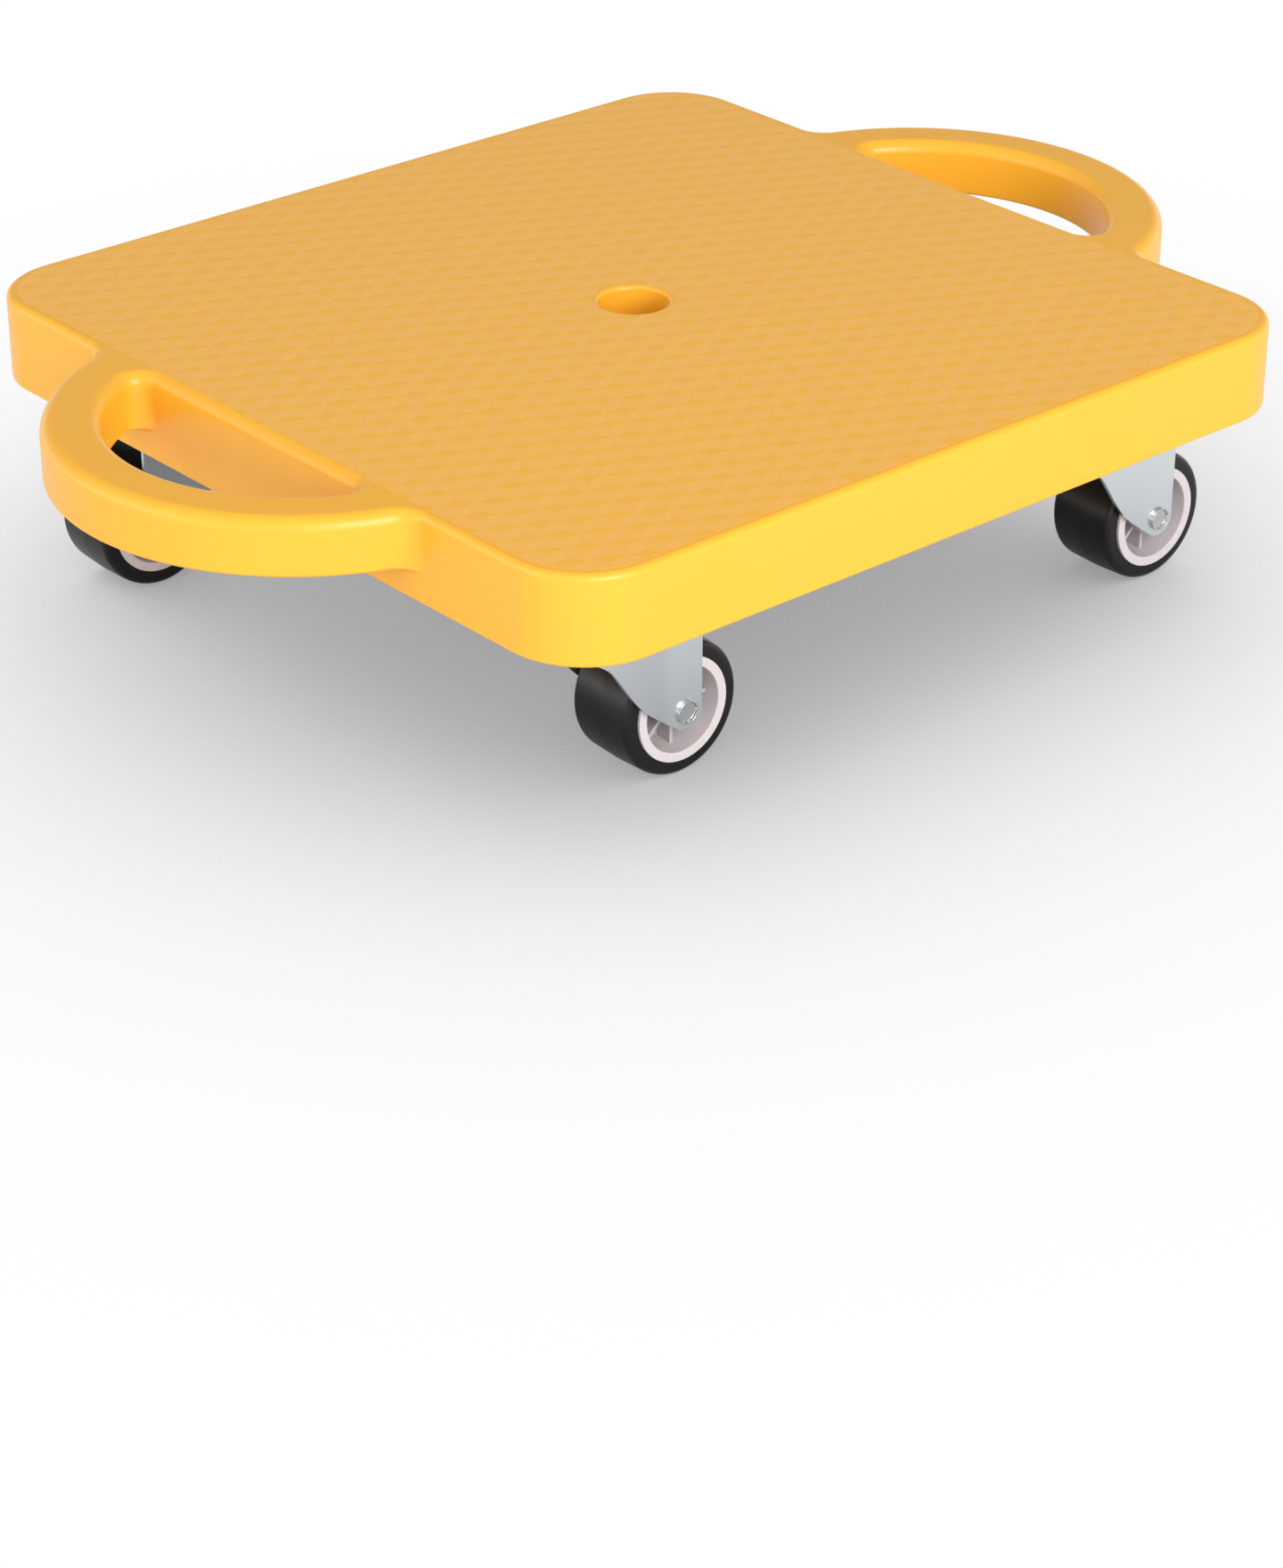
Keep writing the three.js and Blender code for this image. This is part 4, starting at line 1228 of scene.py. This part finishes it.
class BOARD_OT_screws(bpy.types.Operator):
    """Drives the four screws of each mounting plate"""

    bl_idname = "board.screws"
    bl_label = "Plate screws"

    def execute(self, context):
        plate = context.scene.board_plate
        screw = pan_screw(plate)
        spots = [plate_place(corner) @ Vector((x, y, 0)) for corner in CORNERS
                 for x, y in screw_spots(plate)]
        mesh = bpy.data.meshes.new("plate_screws")
        mesh.from_pydata(spots, [], [])
        piece = grown(add_object("plate_screws", mesh), places_tree(),
                      {"Piece": screw, "Material": finish_named("zinc_sheet")})
        remove_object(screw)
        nodes = [f"{corner}_plate_screw_{i}" for corner in CORNERS for i in (1, 2, 3, 4)]
        put(piece, "board", "zinc_steel", *nodes)
        return {"FINISHED"}


def swivel_pin(plate, fork):
    """The riveted pin: head under the washer, shank, and end spread in the dish."""
    under = fork.dome_top - fork.sheet - plate.clearance - plate.washer_thickness
    floor = PLATE_LOW.z + plate.dish_wall
    end = PLATE_HIGH.z - plate.clearance
    height = plate.pin_head_height
    radius = plate.pin_head_radius
    edge = radius / 4
    return turned("rivet_pin", [
        (0, under - height, 0), (radius - edge, under - height, radius),
        (radius, under - height / 3, edge), (radius, under, 0), (plate.pin_radius, under, 0),
        (plate.pin_radius, floor, 0), (radius, floor, 0), (radius * SPREAD_END_SHARE, end, edge),
        (0, end, 0)], HELPER_SIDES)


def swivel_washer(plate, fork):
    """The washer between pin head and crown."""
    high = fork.dome_top - fork.sheet - plate.clearance
    return tube("flat_washer", plate.pin_radius + plate.clearance, plate.washer_radius,
                high - plate.washer_thickness, high, plate.washer_thickness / 6)


class BOARD_OT_pins(bpy.types.Operator):
    """Rivets the swivel pins with their washers"""

    bl_idname = "board.pins"
    bl_label = "Swivel pins"

    def execute(self, context):
        scene = context.scene
        for make, name, node in ((swivel_pin, "rivet_pin", "swivel_pin"),
                                 (swivel_washer, "flat_washer", "swivel_washer")):
            mesh = make(scene.board_plate, scene.board_fork)
            pattern = shaded(add_object(name, mesh, finish_named("zinc_sheet")))
            copies_on(pattern, name, "board", "zinc_steel", node, plate_place)
        return {"FINISHED"}


def ball_ring(axle, plate, fork):
    """The caged balls between the fork's dome and the plate's dish."""
    low = fork.dome_top + plate.clearance
    high = PLATE_LOW.z - plate.clearance
    radius = (high - low) / 2
    middle = (high + low) / 2
    ball_mesh = bpy.data.meshes.new("ball")
    surface = bmesh.new()
    bmesh.ops.create_icosphere(surface, subdivisions=BALL_DIVISIONS, radius=radius)
    for face in surface.faces:
        face.smooth = True
    surface.to_mesh(ball_mesh)
    surface.free()
    ball = add_object("ball", ball_mesh)
    balls = add_object("caged_balls", bpy.data.meshes.new("caged_balls"))
    grown(balls, ring_tree(), {"Piece": ball, "Count": axle.ball_count,
                               "Radius": axle.cage_radius,
                               "Material": finish_named("bright_steel")})
    remove_object(ball)
    balls.data.transform(Matrix.Translation((0, 0, middle)))
    half = axle.cage_width / 2
    thin = radius / 3
    cage = tube("cage", axle.cage_radius - half, axle.cage_radius + half,
                middle - thin, middle + thin, thin / 3)
    return joined(balls, [shaded(add_object("cage", cage, finish_named("bright_steel")))])


def joined(piece, others):
    """Joins other objects into a piece, which keeps its name."""
    surface = bmesh.new()
    materials = list(piece.data.materials)
    surface.from_mesh(piece.data)
    for other in others:
        for material in other.data.materials:
            if material not in materials:
                materials.append(material)
        numbers = [materials.index(material) for material in other.data.materials]
        start = len(surface.faces)
        surface.from_mesh(other.data)
        surface.faces.ensure_lookup_table()
        for face in surface.faces[start:]:
            face.material_index = numbers[face.material_index]
    piece.data.materials.clear()
    for material in materials:
        piece.data.materials.append(material)
    surface.to_mesh(piece.data)
    surface.free()
    for other in others:
        remove_object(other)
    return piece


class BOARD_OT_balls(bpy.types.Operator):
    """Sets the caged balls between plates and forks"""

    bl_idname = "board.balls"
    bl_label = "Swivel balls"

    def execute(self, context):
        scene = context.scene
        pattern = ball_ring(scene.board_axle, scene.board_plate, scene.board_fork)
        copies_on(pattern, "caged_balls", "caster", "bright_steel", "ball_ring", caster_place)
        return {"FINISHED"}


# Forks

# The legs' back edge from the tip up, as shares of the way back and of the way up
BACK_EDGE_SHARES = ((0.328, 0.085), (0.464, 0.25), (0.562, 0.407), (0.66, 0.59), (0.77, 0.787),
                    (0.874, 0.9), (0.93, 0.945), (1, 0.985))
TIP_END = math.radians(-135)
CURVE_STEPS = 12
TIP_STEPS = 14
CREASE_STEPS = 10
FLARE_STEPS = 16
BACK_STEPS = 8
CROWN_STEPS = 6
BEND_STEPS = 7
LEG_STEPS = 12
LEG_CHECKS = 8
HALVINGS = 40
DOME_SIDES = 72
EDGE_SEGMENTS = 2
ROUNDED_FROM = math.radians(50)
SHARP_FORK_EDGE = 38


def spline(points, steps):
    """Points on a smooth curve through the given ones."""
    ends = [2 * points[0] - points[1]] + points + [2 * points[-1] - points[-2]]
    made = []
    for i in range(1, len(ends) - 2):
        a, b, c, d = ends[i - 1:i + 3]
        for k in range(steps):
            t = k / steps
            made.append(0.5 * (2 * b + (c - a) * t + (2 * a - 5 * b + 4 * c - d) * t * t
                               + (3 * b - a - 3 * c + d) * t ** 3))
    return made + [points[-1]]


class ForkForm:
    """The outer face of the folded fork, from the swivel axis at x = 0 to the axle."""

    def __init__(self, fork, axle_height):
        self.fork = fork
        self.axle = axle_height
        reach = fork.trail + fork.back
        rise = fork.crown_top - axle_height
        edge = [Vector((fork.trail - reach * back, axle_height + rise * up))
                for back, up in BACK_EDGE_SHARES]
        self.back_edge = spline([self.tip(TIP_END)] + edge, CURVE_STEPS)

    def tip(self, turn):
        """A place on the round tip of a leg."""
        return Vector((self.fork.trail + self.fork.tip_radius * math.cos(turn),
                       self.axle + self.fork.tip_radius * math.sin(turn)))

    def lowest(self, x):
        """The lower edge of a leg."""
        if x >= self.back_edge[0].x:
            across = min(abs(x - self.fork.trail), self.fork.tip_radius)
            return self.axle - math.sqrt(self.fork.tip_radius ** 2 - across ** 2)
        for here, there in zip(self.back_edge, self.back_edge[1:]):
            if there.x <= x <= here.x:
                portion = (here.x - x) / (here.x - there.x)
                return here.y + (there.y - here.y) * portion
        return self.back_edge[-1].y

    def behind_crease(self, x):
        """How far a place lies behind the crease, with the crease itself bent smoothly."""
        behind = self.fork.trail - self.fork.crease - x
        reach = self.fork.crease_width / 2
        if abs(behind) < reach:
            return (behind + reach) ** 2 / (4 * reach)
        return max(0, behind)

    def outside(self, x, z):
        """Half the outer width of the fork."""
        above = z - self.axle - self.fork.rim_top
        return (self.fork.beside_wheel + math.tan(self.fork.taper) * above
                + math.tan(self.fork.flare) * self.behind_crease(x))

    def widest(self, x):
        """Half the width in plan that the rounded back corners leave."""
        centre = self.fork.back_corner - self.fork.back
        middle = self.outside(centre, self.fork.crown_top) - self.fork.back_corner
        if x >= centre:
            return math.inf
        behind = min(centre - x, self.fork.back_corner)
        return middle + math.sqrt(self.fork.back_corner ** 2 - behind ** 2)

    def place(self, x, t):
        """A place from the middle of the crown (0) over the bend (1 to 2) down the leg (3)."""
        top = self.fork.crown_top
        bend = self.fork.bend
        if t <= 1:
            return Vector(((self.outside(x, top) - bend) * t, top))
        if t <= 2:
            turn = math.pi / 2 * (2 - t)
            z = top - bend * (1 - math.sin(turn))
            return Vector((self.outside(x, z) - bend * (1 - math.cos(turn)), z))
        start = top - bend
        z = start + (min(self.lowest(x), start) - start) * (t - 2)
        return Vector((self.outside(x, z), z))

    def end(self, x):
        """Where the sheet ends at this station, as a value for place."""
        def inside(t):
            at = self.place(x, t)
            return at.x <= self.widest(x) and at.y >= self.lowest(x) - WELD / 10
        if inside(2) and self.widest(x) == math.inf:
            return 3.0
        low, high = 0.0, 2.0
        if inside(high):
            whole = all(inside(high + i / LEG_CHECKS) for i in range(LEG_CHECKS + 1))
            return 3.0 if whole else high
        for _ in range(HALVINGS):
            middle = (low + high) / 2
            low, high = (middle, high) if inside(middle) else (low, middle)
        return low

    def stations(self):
        """Where the sheet is cut across, closer together where it turns."""
        fork = self.fork
        front = -math.acos(fork.front / fork.tip_radius)
        xs = [self.tip(front + (TIP_END - front) * i / TIP_STEPS).x for i in range(TIP_STEPS + 1)]
        xs[0] = fork.trail + fork.front
        crease_back = fork.trail - fork.crease - fork.crease_width / 2
        corner = fork.back_corner - fork.back
        for end, steps in ((crease_back, CREASE_STEPS), (corner, FLARE_STEPS)):
            start = xs[-1]
            xs += [start + (end - start) * (i + 1) / steps for i in range(steps)]
        quarter = math.pi / 2
        xs += [corner - fork.back_corner * math.sin(quarter * (i + 1) / BACK_STEPS)
               for i in range(BACK_STEPS)]
        return xs


def fork_surface(form):
    """The outer face of the fork as a single sheet of faces."""
    steps = [i / CROWN_STEPS for i in range(CROWN_STEPS)]
    steps += [1 + i / BEND_STEPS for i in range(BEND_STEPS)]
    steps += [2 + i / LEG_STEPS for i in range(LEG_STEPS + 1)]
    places = []
    stations = form.stations()
    for x in stations:
        end = form.end(x)
        half = [form.place(x, min(t, end)) for t in steps]
        row = [Vector((x, -p.x, p.y)) for p in reversed(half[1:])]
        places += row + [Vector((x, p.x, p.y)) for p in half]
    width = 2 * len(steps) - 1
    faces = []
    for i in range(len(stations) - 1):
        for k in range(width - 1):
            here = i * width + k
            faces.append([here, here + 1, here + width + 1, here + width])
    mesh = bpy.data.meshes.new("fork_surface")
    surface = bmesh.new()
    corners = [surface.verts.new(place) for place in places]
    for face in faces:
        surface.faces.new([corners[number] for number in face])
    bmesh.ops.remove_doubles(surface, verts=surface.verts, dist=10 * WELD)
    bmesh.ops.dissolve_degenerate(surface, edges=surface.edges, dist=10 * WELD)
    surface.faces.ensure_lookup_table()
    highest = max(surface.faces, key=lambda face: face.calc_center_median().z)
    if highest.normal.z < 0:
        bmesh.ops.reverse_faces(surface, faces=surface.faces)
    surface.to_mesh(mesh)
    surface.free()
    return mesh


def pressed_fork(fork, plate, axle, wheel):
    """The fork: folded sheet with its dome, pin hole and axle holes."""
    form = ForkForm(fork, wheel.axle)
    piece = add_object("pressed_fork", fork_surface(form))
    wall = piece.modifiers.new("sheet", "SOLIDIFY")
    wall.thickness = fork.sheet
    wall.offset = -1
    wall.use_even_offset = True
    edge = piece.modifiers.new("edge", "BEVEL")
    edge.width = fork.edge_round
    edge.segments = EDGE_SEGMENTS
    edge.limit_method = "ANGLE"
    edge.angle_limit = ROUNDED_FROM
    settled(piece)
    top = fork.crown_top
    under = top - fork.sheet
    slope = fork.dome_slope
    rise = fork.dome_top - top
    radius = fork.dome_radius
    inner = radius - fork.sheet / 2
    dome = turned("dome", [(0, top - fork.sheet / 2, 0), (radius, top - fork.sheet / 2, 0),
                           (radius, top, 0), (radius - slope, fork.dome_top, slope / 2),
                           (0, fork.dome_top, 0)], DOME_SIDES)
    hollow = turned("hollow", [(0, under - slope, 0), (inner, under - slope, 0),
                               (inner, under, 0), (inner - slope, under + rise, slope / 2),
                               (0, under + rise, 0)], DOME_SIDES)
    pin = cylinder("pin", plate.pin_radius + plate.clearance, under - slope,
                   fork.dome_top + slope)
    reach = 2 * wheel.width
    bolt = cylinder("bolt", axle.bolt_radius + plate.clearance, -reach, reach)
    about_y(bolt.data, wheel.axle, fork.trail)
    cut(piece, [(add_object("dome", dome), "UNION"), (add_object("hollow", hollow), "DIFFERENCE"),
                (pin, "DIFFERENCE"), (bolt, "DIFFERENCE")])
    return shaded(painted(piece, finish_named("zinc_sheet")), SHARP_FORK_EDGE)


class BOARD_OT_forks(bpy.types.Operator):
    """Folds the four caster forks"""

    bl_idname = "board.forks"
    bl_label = "Forks"

    def execute(self, context):
        scene = context.scene
        pattern = pressed_fork(scene.board_fork, scene.board_plate, scene.board_axle,
                               scene.board_wheel)
        copies_on(pattern, "pressed_fork", "caster", "zinc_steel", "fork", caster_place)
        return {"FINISHED"}


# Axles


def dished_bolt(axle):
    """The axle bolt about Z: a low round head with a dish at the lower end, and its shank."""
    face = -axle.seat - axle.head_height
    end = axle.seat + axle.nut_height
    radius = axle.head_radius
    dish = radius - axle.head_rim
    edge = axle.head_rim / 3
    point = axle.bolt_radius / 5
    return add_object("dished_bolt", turned("dished_bolt", [
        (0, face + axle.head_dish, 0), (dish - edge, face + axle.head_dish, edge),
        (dish, face, edge), (radius, face, edge), (radius, -axle.seat, 0),
        (axle.bolt_radius, -axle.seat, 0), (axle.bolt_radius, end - point, 0),
        (axle.bolt_radius - point, end, 0), (0, end, 0)]))


def lock_nut(axle, plate):
    """The nut about Z with its round collar at the upper end."""
    shoulder = axle.seat + axle.nut_height
    face = shoulder + axle.collar_height
    radius = axle.collar_radius
    nut = hexagon("lock_nut", axle.across, axle.seat, shoulder, axle.chamfer)
    low = shoulder - axle.chamfer
    collar = turned("collar", [(0, low, 0), (radius, low, 0),
                               (radius, face, axle.collar_height / 2), (0, face, 0)],
                    HELPER_SIDES)
    bore = axle.bolt_radius + plate.clearance / 4
    hole = turned("hole", [(0, 0, 0), (bore, 0, 0), (bore, face - axle.chamfer / 2, 0),
                           (bore + axle.chamfer, face + axle.chamfer, 0),
                           (0, face + axle.chamfer, 0)], HELPER_SIDES)
    return cut(nut, [(add_object("collar", collar), "UNION"),
                     (add_object("hole", hole), "DIFFERENCE")])


def spacer_tube(axle, plate):
    """The tube between the legs that the wheel turns on, about Z."""
    inner = axle.bolt_radius + plate.clearance
    return add_object("spacer_tube", tube(
        "spacer_tube", inner, inner + axle.sleeve_wall, -axle.sleeve_half, axle.sleeve_half,
        axle.sleeve_wall / 6))


class BOARD_OT_axles(bpy.types.Operator):
    """Bolts the axles with their nuts and spacer tubes"""

    bl_idname = "board.axles"
    bl_label = "Axles"

    def execute(self, context):
        scene = context.scene
        axle, plate = scene.board_axle, scene.board_plate
        pieces = ((dished_bolt(axle), "dished_bolt", "bright_steel", "axle_bolt"),
                  (lock_nut(axle, plate), "lock_nut", "bright_steel", "axle_nut"),
                  (spacer_tube(axle, plate), "spacer_tube", "zinc_sheet", "axle_sleeve"))
        for piece, name, finish, node in pieces:
            shaded(painted(piece, finish_named(finish)))
            about_y(piece.data, scene.board_wheel.axle, scene.board_fork.trail)
            slot_name = "bright_steel" if finish == "bright_steel" else "zinc_steel"
            copies_on(piece, name, "caster", slot_name, node, caster_place)
        return {"FINISHED"}


# Wheels

CORE_SIDES = 96
TYRE_SIDES = 128
SHOULDER_STEPS = 8


def rib_mesh(wheel):
    """One rib of the wheel, from hub to rim, about Z, with its middle at the origin."""
    start = (wheel.bore + wheel.hub_radius) / 2
    end = (wheel.lip_radius + wheel.rim_radius) / 2
    half = wheel.width / 2 - wheel.rib_recess
    thick = wheel.rib_thickness / 2
    corners = ((start, -thick), (end, -thick), (end, thick), (start, thick))
    places = [Vector((x, y, z)) for z in (-half, half) for x, y in corners]
    return closed_mesh("rib", places, stack_faces(len(corners)))


def moulded_core(wheel):
    """Hub, web, ribs and rim, about Z."""
    half = wheel.width / 2
    lip = wheel.lip_round
    web = wheel.web / 2
    side = [(wheel.bore, -wheel.hub_half, 0), (wheel.hub_radius, -wheel.hub_half, lip),
            (wheel.hub_radius, -web, lip), (wheel.lip_radius - wheel.rim_draft, -web, 2 * lip),
            (wheel.lip_radius, -half, lip), (wheel.rim_radius, -half, lip / 3)]
    section = side + [(radius, -along, fillet) for radius, along, fillet in reversed(side)]
    core = add_object("moulded_core", turned("moulded_core", section, CORE_SIDES, closed=True))
    core.data.materials.append(finish_named("web_grey"))
    core.data.materials.append(finish_named("rim_white"))
    # Faces inside the rim's face take the web's finish, painted darker for the shade in the recess;
    # the rest stays rim white
    for face in core.data.polygons:
        place = face.center
        across = math.hypot(place.x, place.y)
        face.material_index = int(across > wheel.lip_radius - wheel.rim_draft / 2)
    rib = add_object("rib", rib_mesh(wheel))
    edge = rib.modifiers.new("edge", "BEVEL")
    edge.width = wheel.rib_thickness / 6
    edge.segments = EDGE_SEGMENTS
    shaded(settled(rib))
    # The ribs take the web's painted shade too
    ribs = add_object("ribs", bpy.data.meshes.new("ribs"))
    grown(ribs, ring_tree(), {"Piece": rib, "Count": wheel.rib_count, "Radius": 0.0,
                              "Material": finish_named("web_grey")})
    remove_object(rib)
    return shaded(joined(core, [ribs]))


class BOARD_OT_cores(bpy.types.Operator):
    """Moulds the four wheel cores"""

    bl_idname = "board.cores"
    bl_label = "Wheel cores"

    def execute(self, context):
        scene = context.scene
        pattern = moulded_core(scene.board_wheel)
        about_y(pattern.data, scene.board_wheel.axle, scene.board_fork.trail)
        copies_on(pattern, "moulded_core", "wheel", "wheel_plastic", "wheel_core", caster_place)
        return {"FINISHED"}


def rubber_tyre(wheel):
    """The tyre about Z, with its round shoulders."""
    high = wheel.width / 2
    low = wheel.tyre_setback - high
    middle = (low + high) / 2
    inner = wheel.rim_radius + wheel.lip_round / 5
    edge = wheel.tyre_radius - wheel.crown
    lip = wheel.lip_round / 2
    return turned("rubber_tyre", [
        (inner, low, lip), (edge, low, wheel.shoulder),
        (wheel.tyre_radius, middle, high - middle - wheel.shoulder),
        (edge, high, wheel.shoulder), (inner, high, lip)],
        TYRE_SIDES, closed=True, steps=SHOULDER_STEPS)


class BOARD_OT_tyres(bpy.types.Operator):
    """Moulds the four tyres"""

    bl_idname = "board.tyres"
    bl_label = "Tyres"

    def execute(self, context):
        scene = context.scene
        mesh = rubber_tyre(scene.board_wheel)
        pattern = shaded(add_object("rubber_tyre", mesh, finish_named("tyre_rubber")))
        about_y(pattern.data, scene.board_wheel.axle, scene.board_fork.trail)
        copies_on(pattern, "rubber_tyre", "wheel", "tyre_black", "tyre", caster_place)
        return {"FINISHED"}


# Studio

SENSOR_WIDTH = 36
AIM = Vector((0, 0, 0.06))
# Each soft light's place, and its width and height, under the name of its power setting
LIGHTS = {
    "key": ((-0.45, -1.95, 0.95), (1.4, 1.0)),
    "edge": ((-1.7, 1.6, 0.9), (1.2, 1.8)),
    "fill": ((-1.9, 0.4, 0.8), (1.2, 1.0)),
}


def view_axes(stage):
    """The camera's right, up and back directions."""
    a, e = stage.azimuth, stage.elevation
    back = Vector((math.sin(a) * math.cos(e), -math.cos(a) * math.cos(e), math.sin(e)))
    right = Vector((math.cos(a), math.sin(a), 0))
    above = back.cross(right)
    c, s = math.cos(stage.roll), math.sin(stage.roll)
    return c * right + s * above, c * above - s * right, back


def add_camera(stage):
    """The camera that sees the board as it was photographed."""
    camera = bpy.data.cameras.new("view")
    camera.lens = stage.lens
    camera.sensor_width = SENSOR_WIDTH
    holder = bpy.data.objects.new("view", camera)
    bpy.context.scene.collection.objects.link(holder)
    axes = Matrix(view_axes(stage)).transposed().to_4x4()
    place = Matrix.Translation((stage.camera_x, stage.camera_y, stage.camera_z))
    holder.matrix_world = place @ axes
    bpy.context.scene.camera = holder


def add_soft_light(name, place, size, power):
    """A rectangular soft light that looks at the board."""
    light = bpy.data.lights.new(name, "AREA")
    light.shape = "RECTANGLE"
    light.size, light.size_y = size
    light.energy = power
    holder = bpy.data.objects.new(name, light)
    bpy.context.scene.collection.objects.link(holder)
    turn = (Vector(place) - AIM).to_track_quat("Z", "Y").to_matrix().to_4x4()
    holder.matrix_world = Matrix.Translation(place) @ turn
    return holder


def add_floor(stage, colours):
    """A pale floor: diffuse for bounced light, but to the camera and in reflections it glows white,
    with a painted soft grey shade under and round the board.
    """
    half = stage.floor_size / 2
    mesh = bpy.data.meshes.new("floor")
    mesh.from_pydata([(x * half, y * half, -stage.floor_gap) for x, y in QUARTERS],
                     [], [[0, 1, 2, 3]])
    material = bpy.data.materials.new("pale_floor")
    material.use_nodes = True
    tree = material.node_tree
    tree.nodes.clear()
    output = tree.nodes.new("ShaderNodeOutputMaterial")
    path = tree.nodes.new("ShaderNodeLightPath")
    plain = add_node(tree, "ShaderNodeBsdfDiffuse", {"Color": (*colours.floor, 1)})
    # Painted shade: the glow follows ambient occlusion, and is deeper still in reflections
    open_share = add_node(tree, "ShaderNodeAmbientOcclusion", {"Distance": stage.shade_reach})
    shade = add_node(tree, "ShaderNodeMapRange", {
        "Value": open_share.outputs["AO"], "To Min": stage.shade_depth, "To Max": 1.0})
    mirrored = path.outputs["Is Glossy Ray"]
    deeper = add_node(tree, "ShaderNodeMath", {
        0: mirrored, 1: stage.mirror_depth - 1, 2: 1.0}, operation="MULTIPLY_ADD")
    glow = add_node(tree, "ShaderNodeMath", {0: shade.outputs[0], 1: deeper.outputs[0]},
                    operation="POWER")
    seen = add_node(tree, "ShaderNodeEmission", {"Strength": glow.outputs[0]})
    looked_at = add_node(tree, "ShaderNodeMath", {
        0: path.outputs["Is Camera Ray"], 1: mirrored}, operation="MAXIMUM")
    both = add_node(tree, "ShaderNodeMixShader", {
        0: looked_at.outputs[0], 1: plain.outputs[0], 2: seen.outputs[0]})
    tree.links.new(both.outputs[0], output.inputs["Surface"])
    return add_object("floor", mesh, material)


def set_world(stage):
    """Soft light from all round, brighter from the camera's side, and seen as white."""
    world = bpy.data.worlds.new("studio")
    world.use_nodes = True
    tree = world.node_tree
    tree.nodes.clear()
    output = tree.nodes.new("ShaderNodeOutputWorld")
    path = tree.nodes.new("ShaderNodeLightPath")
    white = add_node(tree, "ShaderNodeBackground", {"Color": WHITE, "Strength": 1.0})
    towards = tree.nodes.new("ShaderNodeNewGeometry")
    back = (-math.sin(stage.azimuth), math.cos(stage.azimuth), 0)
    facing = add_node(tree, "ShaderNodeVectorMath", {0: towards.outputs["Incoming"], 1: back},
                      operation="DOT_PRODUCT")
    rise = add_node(tree, "ShaderNodeSeparateXYZ", {0: towards.outputs["Incoming"]})
    total = 0.0
    for value, start, end, low, high in (
            (facing.outputs["Value"], 1.0, -1.0, stage.sky_front, stage.sky_behind),
            (rise.outputs["Z"], 0.0, -1.0, 0.0, stage.sky_above),
            (rise.outputs["Z"], -math.sin(stage.glow_height), 0.0, 0.0, stage.horizon_glow)):
        part = add_node(tree, "ShaderNodeMapRange", {
            "Value": value, "From Min": start, "From Max": end, "To Min": low, "To Max": high})
        total = add_node(tree, "ShaderNodeMath", {0: part.outputs[0], 1: total},
                         operation="ADD").outputs[0]
    around = add_node(tree, "ShaderNodeBackground", {"Color": WHITE, "Strength": total})
    both = add_node(tree, "ShaderNodeMixShader", {
        0: path.outputs["Is Camera Ray"], 1: around.outputs[0], 2: white.outputs[0]})
    tree.links.new(both.outputs[0], output.inputs["Surface"])
    bpy.context.scene.world = world


class BOARD_OT_stage(bpy.types.Operator):
    """Sets the floor, the lights and the camera"""

    bl_idname = "board.stage"
    bl_label = "Stage"

    def execute(self, context):
        scene = context.scene
        stage = scene.board_stage
        scene.view_settings.view_transform = "Standard"
        add_camera(stage)
        set_world(stage)
        floor = add_floor(stage, scene.board_colours)
        lights = [add_soft_light(name, place, size, getattr(stage, name))
                  for name, (place, size) in LIGHTS.items()]
        return {"FINISHED"}


# Panel and registration

GROUPS = {
    "board_deck": DeckSizes, "board_tiles": TileSizes, "board_plate": PlateSizes,
    "board_fork": ForkSizes, "board_wheel": WheelSizes, "board_axle": AxleSizes,
    "board_colours": Colours, "board_stage": StageSettings,
}
OPERATORS = (
    BOARD_OT_deck, BOARD_OT_tiles, BOARD_OT_plates, BOARD_OT_screws, BOARD_OT_pins,
    BOARD_OT_balls, BOARD_OT_forks, BOARD_OT_axles, BOARD_OT_cores, BOARD_OT_tyres,
    BOARD_OT_stage,
)


class BOARD_PT_pieces(bpy.types.Panel):
    """Lists the pieces of the scooter board with their sizes"""

    bl_idname = "BOARD_PT_pieces"
    bl_label = "Scooter board"
    bl_space_type = "VIEW_3D"
    bl_region_type = "UI"
    bl_category = "Board"

    def draw(self, context):
        layout = self.layout
        for operator in OPERATORS:
            layout.operator(operator.bl_idname)
        for name in GROUPS:
            group = getattr(context.scene, name)
            box = layout.box()
            box.label(text=name.replace("board_", "").capitalize())
            for key in type(group).__annotations__:
                box.prop(group, key)


def register():
    """Registers the groups, the operators and the panel."""
    for name, group in GROUPS.items():
        bpy.utils.register_class(group)
        setattr(bpy.types.Scene, name, PointerProperty(type=group))
    for operator in OPERATORS:
        bpy.utils.register_class(operator)
    bpy.utils.register_class(BOARD_PT_pieces)


def unregister():
    """Takes them away again."""
    bpy.utils.unregister_class(BOARD_PT_pieces)
    for operator in reversed(OPERATORS):
        bpy.utils.unregister_class(operator)
    for name, group in GROUPS.items():
        delattr(bpy.types.Scene, name)
        bpy.utils.unregister_class(group)


def main():
    """Builds every piece and the stage."""
    register()
    for operator in OPERATORS:
        getattr(bpy.ops.board, operator.bl_idname.split(".")[1])()


if __name__ == "__main__":
    main()
